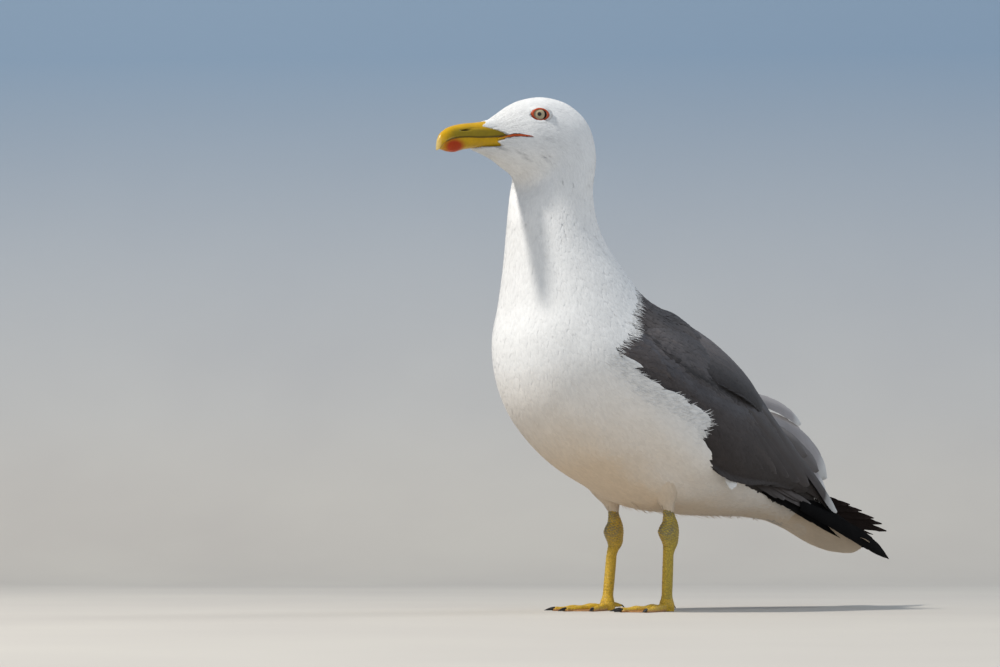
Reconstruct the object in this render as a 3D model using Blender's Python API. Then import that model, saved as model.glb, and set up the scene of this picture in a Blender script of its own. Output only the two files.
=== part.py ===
"""A life-size yellow-legged gull (Larus michahellis), standing upright and still with its wings folded.

The bird faces -Y, its left side is +X and up is +Z. Inside the script a place is (side, ahead, up) in
millimetres: side is towards the bird's left, ahead is counted from the ankles, and up from the floor.
The whole bird is moved at the end, so that the origin lies under the middle of its box, on the floor.
"""

import math

import bmesh
import bpy
import numpy as np
from mathutils import Matrix, Vector

MM = 0.001
GAP = 0.35  # clear space between neighbouring solids

# ---------------------------------------------------------------- body outline
# Each station is a slice of the feathered body: its front or lower end, its back or upper end
# (both as ahead, up), its half width, and how far the widest place lies towards the lower end.
BODY = {
    "bill_base": ((187, 365), (170, 389), 9.0, 0.0),
    "lores": ((174, 362), (156.5, 397.5), 12.4, 0.0),
    "forehead": ((159, 358), (143.5, 405.5), 18.0, 0.05),
    "eye": ((146.5, 353), (130, 411), 23.0, 0.10),
    "crown": ((134, 347.5), (111, 414.5), 26.5, 0.12),
    "ear": ((129, 339.5), (87.5, 411.5), 28.5, 0.10),
    "nape": ((135, 326.5), (67.5, 398), 30.0, 0.05),
    "throat": ((138, 313), (61, 374), 31.5, 0.0),
    "upper_neck": ((138, 299), (66.5, 346), 33.5, 0.0),
    "middle_neck": ((138, 283), (64.5, 321), 37.0, 0.0),
    "lower_neck": ((138.5, 264), (56.5, 301.5), 42.5, 0.0),
    "neck_base": ((140.5, 240), (41.5, 282.5), 50.0, 0.0),
    "shoulder": ((145, 214), (24, 264.5), 57.0, 0.0),
    "breast": ((142, 186), (2, 253), 61.5, 0.0),
    "keel": ((131, 159.5), (-21, 248), 64.0, 0.0),
    "ribs": ((111, 136.5), (-45, 236), 65.0, 0.0),
    "mid_body": ((82, 115.5), (-69, 221), 64.0, 0.0),
    "thigh": ((48, 100), (-93, 203), 61.5, 0.0),
    "belly": ((8, 85.5), (-116, 185), 57.5, 0.0),
    "flank": ((-33, 81), (-138, 167), 51.0, 0.0),
    "vent": ((-74, 79), (-160, 149), 43.0, 0.0),
    "rump": ((-116, 79), (-180, 131), 34.0, 0.0),
    "tail_covert": ((-156, 75.5), (-199, 112), 26.5, 0.0),
    "tail_root": ((-190, 66), (-216, 95), 21.5, 0.0),
}
STATION_NAMES = list(BODY)
BODY_ROWS = np.array([[*low, *high, half, drop] for low, high, half, drop in BODY.values()], float)
ROUNDNESS = 0.94  # exponent of the slices' sideways reach: under 1 is fuller than an ellipse

# ---------------------------------------------------------------- driving sizes
ANKLE_SIDE = 28.5
ANKLE_UP = 65.0
LEG_AHEAD = {"left": (-4.5, -1.5), "right": (3.0, 10.5)}  # ankle, toe root
EYE_RADIUS = 7.6
EYE = Vector((14.9, 128.8, 396.3))
TOE_LENGTHS = {"inner": 40.0, "middle": 50.0, "outer": 47.0}
TOE_ANGLES = {"inner": 28.0, "middle": 2.0, "outer": -24.0}
CLAW_LENGTH = 8.5
WEB_THICKNESS = 1.4
SOLE_SPARE = 1.2  # how far the toes and web reach below the floor before the sole is cut flat

WHITE = ((0.80, 0.78, 0.74, 1), 0.85)
SLATE = ((0.105, 0.105, 0.115, 1), 0.7)
BLACK = ((0.012, 0.011, 0.012, 1), 0.55)
YELLOW = ((0.72, 0.46, 0.03, 1), 0.4)
BILL_YELLOW = ((0.80, 0.52, 0.02, 1), 0.3)
IRIS = ((0.62, 0.52, 0.30, 1), 0.1)


# ---------------------------------------------------------------- helpers
def place(point):
    """(side, ahead, up) in millimetres as Blender's metres."""
    side, ahead, up = point
    return Vector((side * MM, -ahead * MM, up * MM))


def smooth_table(rows, at):
    """Rows of numbers read between their places by a Catmull-Rom curve; at counts rows, in fractions too."""
    rows = np.asarray(rows, float)
    i = int(min(max(math.floor(at), 0), len(rows) - 2))
    t = at - i
    before = rows[i - 1] if i > 0 else 2 * rows[0] - rows[1]
    after = rows[i + 2] if i + 2 < len(rows) else 2 * rows[-1] - rows[-2]
    a, b = rows[i], rows[i + 1]
    return 0.5 * (
        2 * a + (b - before) * t + (2 * before - 5 * a + 4 * b - after) * t * t
        + (3 * a - before - 3 * b + after) * t ** 3
    )


def station(name):
    return STATION_NAMES.index(name)


def body_ring(at, count, grow=0.0):
    """The closed outline of the body at a station number: (side, ahead, up) rows that start at the back."""
    low_ahead, low_up, high_ahead, high_up, half, drop = smooth_table(BODY_ROWS, at)
    centre = np.array([(low_ahead + high_ahead) / 2, (low_up + high_up) / 2])
    reach = np.array([high_ahead, high_up]) - centre
    reach *= 1 + grow / np.linalg.norm(reach)
    ring = []
    for k in range(count):
        turn = 2 * math.pi * k / count
        along = math.cos(turn) - drop * math.sin(turn) ** 2
        side = math.copysign(abs(math.sin(turn)) ** ROUNDNESS, math.sin(turn)) * (half + grow)
        ahead, up = centre + reach * along
        ring.append((side, ahead, up))
    return ring


def material(name, look):
    made = bpy.data.materials.get(name) or bpy.data.materials.new(name)
    made.use_nodes = True
    shader = made.node_tree.nodes["Principled BSDF"]
    shader.inputs["Base Color"].default_value = look[0]
    shader.inputs["Roughness"].default_value = look[1]
    shader.inputs["Metallic"].default_value = 0.0
    return made


def add_object(name, bm, look_name, look):
    """Turns a bmesh into an object of that name with its faces pointing out."""
    bmesh.ops.recalc_face_normals(bm, faces=bm.faces)
    mesh = bpy.data.meshes.new(name)
    bm.to_mesh(mesh)
    bm.free()
    mesh.materials.append(material(look_name, look))
    made = bpy.data.objects.new(name, mesh)
    bpy.context.scene.collection.objects.link(made)
    mesh.shade_smooth()
    mesh.set_sharp_from_angle(angle=math.radians(40))
    return made


def loft_mesh(rings):
    """A bmesh through closed rings of (side, ahead, up) rows, with both ends capped."""
    bm = bmesh.new()
    loops = []
    for ring in rings:
        verts = [bm.verts.new(place(p)) for p in ring]
        loops.append([bm.edges.new((verts[k - 1], verts[k])) for k in range(len(verts))])
        if len(loops) == 1 or len(loops) == len(rings):
            bm.faces.new(verts)
    for first, second in zip(loops, loops[1:]):
        bmesh.ops.bridge_loops(bm, edges=first + second)
    return bm


def loft(name, rings, look_name, look):
    return add_object(name, loft_mesh(rings), look_name, look)


def apply_modifiers(obj):
    """Replaces the object's mesh by what its modifiers make of it."""
    graph = bpy.context.evaluated_depsgraph_get()
    mesh = bpy.data.meshes.new_from_object(obj.evaluated_get(graph))
    obj.modifiers.clear()
    old, obj.data = obj.data, mesh
    bpy.data.meshes.remove(old)


def keep_largest(obj):
    """Drops the crumbs that a cut leaves beside the main body."""
    bm = bmesh.new()
    bm.from_mesh(obj.data)
    left = set(bm.faces)
    groups = []
    while left:
        start = left.pop()
        group, todo = [start], [start]
        while todo:
            for edge in todo.pop().edges:
                for face in edge.link_faces:
                    if face in left:
                        left.remove(face)
                        group.append(face)
                        todo.append(face)
        groups.append(group)
    groups.sort(key=lambda group: sum(face.calc_area() for face in group))
    bmesh.ops.delete(bm, geom=[face for group in groups[:-1] for face in group], context="FACES")
    bm.to_mesh(obj.data)
    bm.free()


def boolean(obj, other, operation):
    modifier = obj.modifiers.new(operation.lower(), "BOOLEAN")
    modifier.operation = operation
    modifier.solver = "EXACT"
    modifier.object = other
    apply_modifiers(obj)


def swollen(obj, by):
    """A hidden copy of a solid, grown outwards, that cuts room for it."""
    bm = bmesh.new()
    bm.from_mesh(obj.data)
    bmesh.ops.remove_doubles(bm, verts=bm.verts, dist=1e-6)
    bm.normal_update()
    moves = [(v, v.normal * by * MM * min(v.calc_shell_factor(), 1.6)) for v in bm.verts]
    for v, move in moves:
        v.co += move
    copy = add_object(obj.name + "_room", bm, "room", WHITE)
    copy.hide_render = True
    copy.display_type = "WIRE"
    return copy


def cut_rooms(obj, rooms):
    """Cuts the given rooms out of obj, and keeps its main body."""
    for room in rooms:
        boolean(obj, room, "DIFFERENCE")
    keep_largest(obj)


def cut_clear(obj, others, gap=GAP):
    """Cuts room for each of the others out of obj."""
    rooms = [swollen(other, gap) for other in others]
    cut_rooms(obj, rooms)
    for room in rooms:
        bpy.data.objects.remove(room)


def join_into(obj, others):
    for other in others:
        boolean(obj, other, "UNION")
        bpy.data.objects.remove(other)


def mirrored(point, hand):
    return (point[0] * hand, point[1], point[2])


# ---------------------------------------------------------------- head, neck, trunk
def build_body():
    """The feathered body in three lengths, each a loft between two stations."""
    cuts = {"head": ("bill_base", "throat", 24), "neck": ("throat", "neck_base", 24),
            "trunk": ("neck_base", "tail_root", 28)}
    made = {}
    for name, (first, last, count) in cuts.items():
        start, stop = station(first), station(last)
        steps = (stop - start) * 3 // 2
        spread = np.linspace(start, stop, steps + 1)
        if first != "bill_base":
            spread[0] += 0.012
        if last != "tail_root":
            spread[-1] -= 0.012
        made[name] = loft(name, [body_ring(at, count) for at in spread], "white_feathers", WHITE)
    return made


def build_eyes(head):
    for hand, side in ((1, "left"), (-1, "right")):
        centre = place(mirrored(EYE, hand))
        turned = Matrix.Translation(centre) @ Matrix.Rotation(math.radians(90), 4, "Y")
        bm = bmesh.new()
        bmesh.ops.create_uvsphere(bm, u_segments=16, v_segments=9, radius=EYE_RADIUS * MM, matrix=turned)
        eye = add_object(f"eye_{side}", bm, "iris", IRIS)
        cut_clear(head, [eye])


# ---------------------------------------------------------------- bill
# Slices of the closed bill: ahead, top, mouth line, bottom, half width at the mouth line.
BILL = [
    (158, 391.5, 377.6, 365.5, 12.4),
    (166, 390.3, 376.8, 366.9, 10.8),
    (174, 388.4, 375.8, 366.9, 9.2),
    (184, 386.3, 374.6, 366.0, 8.0),
    (195, 384.4, 373.7, 363.9, 7.0),
    (204, 382.2, 372.4, 361.0, 6.2),
    (211, 379.6, 370.2, 360.6, 5.2),
    (216, 376.5, 367.7, 361.3, 4.3),
]
# The hook of the upper mandible and the end of the lower one: ahead, top, bottom, half width.
HOOK = [(219.3, 373.3, 365.0, 3.2), (221.2, 369.8, 362.0, 2.2), (222.4, 366.6, 360.6, 0.8)]
LOWER_END = [(216, 367.3, 361.3, 4.0), (218.2, 365.0, 361.7, 2.6), (219.6, 364.0, 362.4, 0.9)]


def bill_ring(ahead, top, bottom, half, ridge, lean=0.0):
    """A slice of a mandible: an arch whose crown is at top for the upper one, or at bottom for the lower."""
    ring = []
    crown, floor = (top, bottom) if ridge > 0 else (bottom, top)
    steps = 8
    for k in range(steps + 1):
        turn = math.pi * k / steps
        side = math.cos(turn) * half
        height = math.sin(turn) ** 0.8
        up = floor + (crown - floor) * height
        ring.append((side, ahead + lean * (up - floor), up))
    return ring


def build_bill(head):
    upper = [bill_ring(a, top, mouth + GAP / 2, half, 1) for a, top, mouth, low, half in BILL]
    upper += [bill_ring(a, top, low, half, 1) for a, top, low, half in HOOK]
    lower = [bill_ring(a, mouth - GAP / 2, low, half * 0.94, -1) for a, top, mouth, low, half in BILL[:-1]]
    lower += [bill_ring(a, top, low, half, -1) for a, top, low, half in LOWER_END]
    bill_upper = loft("bill_upper", upper, "bill", BILL_YELLOW)
    bill_lower = loft("bill_lower", lower, "bill", BILL_YELLOW)
    cut_clear(head, [bill_upper, bill_lower])


# ---------------------------------------------------------------- wings
# Rows along the folded left wing, from the bend at the front to the tips of the tertials:
# upper edge, lower edge (side, ahead, up), outward crown, thickness, how far the crown faces up (degrees).
WING = [
    ((55, 101, 214), (57, 99, 200), 3.0, 5.0, 20),
    ((50, 92, 228), (57, 86, 184), 9.0, 9.0, 20),
    ((46, 70, 238), (60, 60, 165), 14.0, 11.0, 20),
    ((43, 38, 241), (64, 25, 143), 17.0, 12.0, 20),
    ((40, 0, 234), (63, -12, 124), 19.0, 12.0, 20),
    ((36, -38, 219), (58, -48, 112), 19.0, 11.0, 22),
    ((27, -76, 204), (51, -84, 109), 17.0, 10.0, 26),
    ((17, -114, 185), (42, -120, 106.5), 15.0, 8.0, 30),
    ((10, -150, 158), (34, -154, 102), 12.0, 6.0, 34),
    ((9, -184, 128), (28, -187, 94), 8.0, 4.5, 38),
    ((17, -216, 92), (23, -217, 81), 2.0, 3.0, 38),
]

# Rows along the left scapulars, the smooth feathered mass between the back and the wing, as for the wing.
SCAPULARS = [
    ((12, 32, 262), (44, 56, 241), 2.0, 5.0, 50),
    ((8, 8, 256.5), (60, 28, 214), 9.0, 11.0, 50),
    ((5, -24, 245.5), (66, -13, 189), 11.0, 14.0, 50),
    ((4, -58, 232), (64, -51, 177), 12.0, 15.0, 50),
    ((4, -92, 209.5), (52, -84, 168), 12.0, 14.0, 50),
    ((6, -120, 188), (36, -114, 158), 9.0, 11.0, 50),
    ((12, -142, 168), (24, -140, 154), 3.0, 5.0, 50),
]

# Long inner feathers of the right wing that the wind has lifted: root, tip, width, bow.
LIFTED = [
    ((-14, -124, 182), (-23, -226, 162), 15, (0, -6, 7)),
    ((-14, -140, 164), (-17, -251, 112.5), 31, (0, -7, 11)),
    ((-15, -164, 140), (-14, -243, 103), 22, (0, -4, 6)),
]


def wing_ring(row, hand, lift):
    """A closed slice across a shell: out over its crown from the upper edge to the lower, and back inside."""
    high, low, crown, thick, tilt = np.array(row[0:3]), np.array(row[3:6]), *row[6:]
    outward = np.array([math.cos(math.radians(tilt)), 0.0, math.sin(math.radians(tilt))])
    steps, ring = 6, []
    for k in range(steps + 1):
        t = k / steps
        bulge = (4 * t * (1 - t)) ** 0.75
        ring.append(high + (low - high) * t + outward * (0.7 + crown * bulge))
    for k in range(steps, -1, -1):
        t = k / steps
        bulge = (4 * t * (1 - t)) ** 0.75
        ring.append(high + (low - high) * t + outward * (-0.7 + (crown - thick) * bulge))
    return [(p[0] * hand, p[1], p[2] + lift * min(1.0, max(0.0, -p[1] / 200))) for p in ring]


RIGHT_LIFT = 12.0  # the right wing's rear end is held this much higher than the left's


def build_shell(name, table, side):
    """A bowed shell through the rows of a table."""
    hand = 1 if side == "left" else -1
    lift = 0.0 if side == "left" else RIGHT_LIFT
    rows = np.array([[*high, *low, *rest] for high, low, *rest in table], float)
    spread = np.linspace(0, len(rows) - 1, 3 * len(rows) // 2)
    rings = [wing_ring(smooth_table(rows, at), hand, lift) for at in spread]
    return loft(f"{name}_{side}", rings, "slate_feathers", SLATE)


def build_wing(side, trunk, tail):
    """The folded wing under the scapulars, with the primaries that leave it behind."""
    wing = build_shell("wing", WING, side)
    scapulars = build_shell("scapulars", SCAPULARS, side)
    close = [swollen(obj, GAP) for obj in (trunk, scapulars)]
    rooms = [swollen(obj, 2 * GAP) for obj in (trunk, scapulars, tail)] + [swollen(wing, 4 * GAP)]
    cut_rooms(scapulars, close[:1])
    cut_rooms(wing, close)
    rooms.append(swollen(build_primaries(side, rooms), GAP))
    if side == "right":
        build_lifted(rooms)
    for room in close + rooms:
        bpy.data.objects.remove(room)


def build_lifted(rooms):
    """The feathers that stand off the right wing, each tucked under the one before."""
    for k, (root, tip, width, bow) in enumerate(LIFTED):
        feather = blade(f"lifted_feather_{k + 1}", root, tip, width, 1.3, (0.85, 0.15, 0.5), bow,
                        "slate_feathers", SLATE)
        cut_rooms(feather, rooms)
        rooms.append(swollen(feather, GAP))


def blade(name, root, tip, width, thick, outward, bow, look_name, look):
    """A single stiff feather: a thin lens-shaped strip from root to tip, bowed by a vector in the middle."""
    root, tip, bow = np.array(root, float), np.array(tip, float), np.array(bow, float)
    outward = np.array(outward, float) / np.linalg.norm(outward)
    along = (tip - root) / np.linalg.norm(tip - root)
    across = np.cross(outward, along)
    profile = [(0.0, 0.55), (0.3, 0.95), (0.6, 1.0), (0.85, 0.78), (1.0, 0.14)]
    rings = []
    for t, share in profile:
        centre = root + (tip - root) * t + bow * 4 * t * (1 - t)
        half = width / 2 * share
        flat = thick * (1 - 0.35 * t)
        rings.append([tuple(centre + across * half * c + outward * flat / 2 * s) for c, s in
                      ((1, 0.45), (0, 1), (-1, 0.45), (-1, -0.45), (0, -1), (1, -0.45))])
    return loft(name, rings, look_name, look)


# The tips of the primaries of each folded wing, from the longest, as (side, ahead, up).
PRIMARY_TIPS = {
    "left": [(12, -304, 42), (13.5, -294, 48.5), (15, -278, 58), (16.5, -259, 66.5), (18, -243, 73.5)],
    "right": [(2, -312, 67.5), (1, -306, 74), (0, -296, 78.5), (-1, -281, 85), (-3, -267, 90.5)],
}
PRIMARY_ROOT = np.array([40.0, -95.0, 107.0])
PRIMARY_HALF = 12.0  # half the width of a primary
PRIMARY_THICK = (2.6, 1.2)  # the stack's thickness at its root and at its tips


def primary_outline(tips):
    """The stepped outline of the stack in its plane: distance from the root, height over the first vane."""
    length, last = tips[0][0], tips[-1]
    outline = [(0, -0.7), (0.35, -0.55), (0.75, -0.35), (0.93, -0.2)]
    outline = [(share * length, width * PRIMARY_HALF) for share, width in outline]
    for near, far in zip(tips, tips[1:]):
        outline.append(tuple(near))
        outline.append(tuple(near + (far - near) * 0.7 - np.array([7.0, 1.5])))
    outline.append(tuple(last))
    for share, width in ((0.92, 0.4), (0.6, 0.9), (0.0, 0.8)):
        outline.append(tuple(last * share + np.array([0.0, width * PRIMARY_HALF])))
    return outline


def build_primaries(side, rooms):
    """The stacked primaries, which leave the wing under the tertials and cross above the tail."""
    hand = 1 if side == "left" else -1
    points = np.array(PRIMARY_TIPS[side], float)
    root = PRIMARY_ROOT * np.array([hand, 1, 1])
    along = points[0] - root
    along /= np.linalg.norm(along)
    upward = points[-1] - points[0]
    upward -= along * (upward @ along)
    upward /= np.linalg.norm(upward)
    outward = np.cross(along, upward)
    outline = primary_outline([np.array([(p - root) @ along, (p - root) @ upward]) for p in points])
    bm = bmesh.new()
    layers = []
    for way in (-0.5, 0.5):
        layer = []
        for distance, height in outline:
            share = min(1.0, distance / outline[4][0])
            thick = PRIMARY_THICK[0] + (PRIMARY_THICK[1] - PRIMARY_THICK[0]) * share
            corner = root + along * distance + upward * height + outward * thick * way
            layer.append(bm.verts.new(place(corner)))
        bm.faces.new(layer)
        layers.append(layer)
    for k, (inner, outer) in enumerate(zip(*layers)):
        bm.faces.new((layers[0][k - 1], inner, outer, layers[1][k - 1]))
    stack = add_object(f"primaries_{side}", bm, "black_feathers", BLACK)
    cut_rooms(stack, rooms)
    return stack


# ---------------------------------------------------------------- tail
# Slices of the tail: ahead, middle height, half width, thickness, how far its edges droop,
# and how much lower its left edge hangs than its middle, since the tail is turned a little.
TAIL = [
    (-170, 84.0, 22.0, 24.0, 0.0, 0.0),
    (-186, 79.0, 25.0, 20.0, -1.0, 0.0),
    (-204, 71.0, 26.5, 19.0, -3.0, 0.0),
    (-222, 60.5, 27.5, 13.0, -6.0, 0.0),
    (-238, 53.5, 28.0, 8.0, -7.5, 0.0),
    (-249, 49.5, 26.5, 4.0, -8.0, 0.0),
    (-256, 48.0, 21.0, 1.8, -6.5, 0.0),
]
TAIL_ROUNDED = 5.0  # how much further its middle reaches than its corners


def build_tail(trunk):
    """The folded tail: deep under its coverts at the root, and a thin rounded fan at its end."""
    rings = []
    for ahead, middle, half, thick, arch, tilt in TAIL:
        ring = []
        for k in range(20):
            turn = 2 * math.pi * k / 20
            across = math.cos(turn)
            rounded = TAIL_ROUNDED * (1 - across * across) if ahead < -245 else 0.0
            up = middle + math.sin(turn) * thick / 2 - arch * across * across - tilt * across
            ring.append((across * half, ahead - rounded, up))
        rings.append(ring)
    tail = loft("tail", rings, "white_feathers", WHITE)
    cut_clear(tail, [trunk])
    return tail


# ---------------------------------------------------------------- legs
def tube_rings(path, count):
    """Rings round a path of (point, radius ahead, radius sideways), level with the floor."""
    rings = []
    for (side, ahead, up), deep, wide in path:
        rings.append([(side + wide * math.sin(2 * math.pi * k / count),
                       ahead + deep * math.cos(2 * math.pi * k / count), up) for k in range(count)])
    return rings


def build_leg(side, trunk):
    hand = 1 if side == "left" else -1
    ankle, root = LEG_AHEAD[side]
    lean = (root - ankle) / (ANKLE_UP - 8)
    x = ANKLE_SIDE * hand
    thigh_path = [((x * 0.95, ankle + 16, 124), 17, 14), ((x * 1.02, ankle + 12, 108), 16.5, 14.5),
                  ((x * 1.03, ankle + 7, 97), 12.5, 11.5), ((x, ankle + 3, 89), 7.6, 7.0),
                  ((x, ankle + 1, 84), 5.4, 5.2)]
    thigh = loft(f"thigh_{side}", tube_rings(thigh_path, 16), "white_feathers", WHITE)
    cut_clear(thigh, [trunk])
    shin_path = [((x, ankle + 1, 84 - GAP), 4.4, 4.0), ((x, ankle + 0.5, 78), 4.8, 4.3),
                 ((x, ankle, 72), 6.4, 5.4), ((x, ankle, 66), 9.2, 6.4),
                 ((x, ankle, 61), 8.6, 6.2), ((x, ankle, 54), 5.8, 4.8)]
    for up in (48, 36, 22, 13):
        shin_path.append(((x, ankle + lean * (ANKLE_UP - up), up), 4.9, 3.9))
    shin_path.append(((x, root, 8.0), 6.0, 5.2))
    loft(f"shank_{side}", tube_rings(shin_path, 12), "leg_skin", YELLOW)
    build_foot(side, hand, root, x)


def toe_rings(start, heading, length, hand):
    """A toe lying on the floor: flat below, with a slight swelling at each joint, up to the claw's root."""
    angle = math.radians(heading) * hand
    forward = np.array([math.sin(-angle), math.cos(angle)])
    across = np.array([forward[1], -forward[0]])
    rings = []
    for t in np.linspace(0, 1, 7):
        swell = 1 + 0.1 * math.cos(2 * math.pi * 3 * t)
        half = (3.3 - 1.3 * t) * swell
        height = (6.6 - 3.6 * t) * swell
        centre = np.array(start) + forward * length * t
        ring = []
        for k in range(8):
            turn = 2 * math.pi * (k + 0.25) / 8
            lateral = half * math.cos(turn)
            ring.append((*(centre + across * lateral), height * 0.4 + height * 0.6 * math.sin(turn)))
        rings.append(ring)
    return rings, np.array(start) + forward * length, forward, across


def build_foot(side, hand, root, x):
    """Three webbed toes, the small hind toe and their claws."""
    start = (x, root)
    toes, ends = [], {}
    for name, length in TOE_LENGTHS.items():
        rings, end, forward, across = toe_rings(start, TOE_ANGLES[name], length, hand)
        toes.append(loft(f"toe_{name}_{side}", rings, "leg_skin", YELLOW))
        ends[name] = (end, forward, across)
    bm = bmesh.new()
    outline = [(x, root - 2)]
    for name in ("inner", "middle", "outer"):
        end, forward, across = ends[name]
        outline.append(tuple(end - forward * 3))
        if name != "outer":
            following = ends["middle" if name == "inner" else "outer"][0]
            between = (end + following) / 2
            outline.append(tuple(between + (np.array(start) - between) * 0.16))
    floor = [bm.verts.new(place((p[0], p[1], -SOLE_SPARE))) for p in outline]
    bm.faces.new(floor)
    lifted = bmesh.ops.extrude_face_region(bm, geom=bm.faces[:])
    top = [v for v in lifted["geom"] if isinstance(v, bmesh.types.BMVert)]
    bmesh.ops.translate(bm, verts=top, vec=(0, 0, (WEB_THICKNESS + SOLE_SPARE) * MM))
    web = add_object(f"web_{side}", bm, "leg_skin", YELLOW)
    hub_path = [((x, root, -2.0), 6.2, 5.6), ((x, root, 4.0), 6.8, 6.2), ((x, root, 8 - GAP), 6.0, 5.2)]
    foot = loft(f"foot_{side}", tube_rings(hub_path, 12), "leg_skin", YELLOW)
    join_into(foot, toes + [web, build_hind_toe(side, hand, root, x)])
    flatten_sole(foot)
    for name, (end, forward, across) in ends.items():
        build_claw(f"claw_{name}_{side}", end, forward, across, 3.2, 2.0, CLAW_LENGTH, foot)


def build_hind_toe(side, hand, root, x):
    """The small hind toe, which stands a little off the floor at the inner back of the shank."""
    rings = []
    for t in np.linspace(0, 1, 5):
        centre = np.array([x - hand * (1 + 3.0 * t), root - 2 - 10.5 * t, 5.6 - 1.6 * t])
        half = 2.3 - 1.5 * t * t
        rings.append([tuple(centre + half * np.array([math.cos(2 * math.pi * k / 8), 0,
                                                      math.sin(2 * math.pi * k / 8)])) for k in range(8)])
    return loft(f"hind_toe_{side}", rings, "leg_skin", YELLOW)


def flatten_sole(foot):
    """Cuts off what the toes and web hold below the floor, which leaves one flat sole."""
    bm = bmesh.new()
    bmesh.ops.create_cube(bm, size=0.4, matrix=Matrix.Translation((0, 0, -0.2)))
    below = add_object("below_floor", bm, "room", WHITE)
    boolean(foot, below, "DIFFERENCE")
    bpy.data.objects.remove(below)


def build_claw(name, end, forward, across, height, half, length, foot):
    """A curved pointed claw that starts inside the toe's end and comes down to the floor."""
    rings = []
    for t, share in ((-0.25, 0.9), (0.0, 0.95), (0.35, 0.8), (0.7, 0.5), (1.0, 0.12)):
        centre = end + forward * length * t
        middle = height * (0.62 - 0.38 * max(t, 0) ** 1.5)
        ring = []
        for k in range(8):
            turn = 2 * math.pi * k / 8
            level = max(0.05, middle + height * 0.45 * share * math.sin(turn))
            ring.append((*(centre + across * half * 0.62 * share * math.cos(turn)), level))
        rings.append(ring)
    claw = loft(name, rings, "claw", BLACK)
    cut_clear(claw, [foot])
    return claw


# ---------------------------------------------------------------- assembly
def centre_over_floor():
    """Moves the bird as a whole, so that the origin is under the middle of its box."""
    bpy.context.view_layer.update()
    solids = [o for o in bpy.context.scene.objects if o.type == "MESH" and not o.hide_render]
    corners = np.array([o.matrix_world @ v.co for o in solids for v in o.data.vertices])
    low, high = corners.min(axis=0), corners.max(axis=0)
    whole = bpy.data.objects.new("gull", None)
    bpy.context.scene.collection.objects.link(whole)
    for solid in solids:
        solid.parent = whole
    whole.location = (-(low[0] + high[0]) / 2, -(low[1] + high[1]) / 2, -low[2])


def main():
    for old in list(bpy.data.objects):
        bpy.data.objects.remove(old)
    body = build_body()
    build_eyes(body["head"])
    build_bill(body["head"])
    tail = build_tail(body["trunk"])
    for side in ("left", "right"):
        build_wing(side, body["trunk"], tail)
        build_leg(side, body["trunk"])
    centre_over_floor()


main()
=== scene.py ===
import math

import bmesh
import bpy
import numpy as np
from mathutils import Matrix, Vector
from mathutils.bvhtree import BVHTree
from mathutils.kdtree import KDTree
from numpy import array, clip, cos, interp, linspace, pi, sin, stack


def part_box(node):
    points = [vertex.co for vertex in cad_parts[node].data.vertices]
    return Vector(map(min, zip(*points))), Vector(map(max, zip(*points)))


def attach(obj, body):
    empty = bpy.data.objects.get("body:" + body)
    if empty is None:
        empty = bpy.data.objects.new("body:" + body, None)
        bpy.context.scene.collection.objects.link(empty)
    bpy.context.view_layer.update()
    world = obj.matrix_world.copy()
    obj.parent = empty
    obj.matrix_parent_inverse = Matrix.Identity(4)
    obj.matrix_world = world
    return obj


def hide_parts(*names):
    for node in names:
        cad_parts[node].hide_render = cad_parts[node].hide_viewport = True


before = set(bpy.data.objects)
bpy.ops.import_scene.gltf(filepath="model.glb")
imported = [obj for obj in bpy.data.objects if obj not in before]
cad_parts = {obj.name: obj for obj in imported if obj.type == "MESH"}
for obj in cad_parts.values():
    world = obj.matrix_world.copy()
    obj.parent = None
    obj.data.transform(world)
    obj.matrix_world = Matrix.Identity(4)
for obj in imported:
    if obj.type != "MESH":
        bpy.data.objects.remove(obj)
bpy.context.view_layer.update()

# A place is (side, ahead, up) in millimetres, as in the part's source: side towards the bird's left,
# ahead counted from the ankles, up from the floor. inFrame() turns it into the frame's metres.
billTipAhead = 222.4
eyeLeft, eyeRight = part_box("eye_left"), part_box("eye_right")
shift = array([(eyeLeft[0].x + eyeRight[1].x) / 2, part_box("bill_upper")[0].y + billTipAhead / 1000, 0.0])
hands = {"left": 1, "right": -1}

# From the bill's base to the tail's root: low end (ahead, up), high end (ahead, up), half width, drop.
bodyRows = array([
    (187, 365, 170, 389, 9, 0), (174, 362, 156.5, 397.5, 12.4, 0), (159, 358, 143.5, 405.5, 18, 0.05),
    (146.5, 353, 130, 411, 23, 0.10), (134, 347.5, 111, 414.5, 26.5, 0.12),
    (129, 339.5, 87.5, 411.5, 28.5, 0.10), (135, 326.5, 67.5, 398, 30, 0.05), (138, 313, 61, 374, 31.5, 0),
    (138, 299, 66.5, 346, 33.5, 0), (138, 283, 64.5, 321, 37, 0), (138.5, 264, 56.5, 301.5, 42.5, 0),
    (140.5, 240, 41.5, 282.5, 50, 0), (145, 214, 24, 264.5, 57, 0), (142, 186, 2, 253, 61.5, 0),
    (131, 159.5, -21, 248, 64, 0), (111, 136.5, -45, 236, 65, 0), (82, 115.5, -69, 221, 64, 0),
    (48, 100, -93, 203, 61.5, 0), (8, 85.5, -116, 185, 57.5, 0), (-33, 81, -138, 167, 51, 0),
    (-74, 79, -160, 149, 43, 0), (-116, 79, -180, 131, 34, 0), (-156, 75.5, -199, 112, 26.5, 0),
    (-190, 66, -216, 95, 21.5, 0)], float)
lastRow = len(bodyRows) - 1
roundness = 0.94  # of the slices: under 1 is fuller than an ellipse

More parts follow.
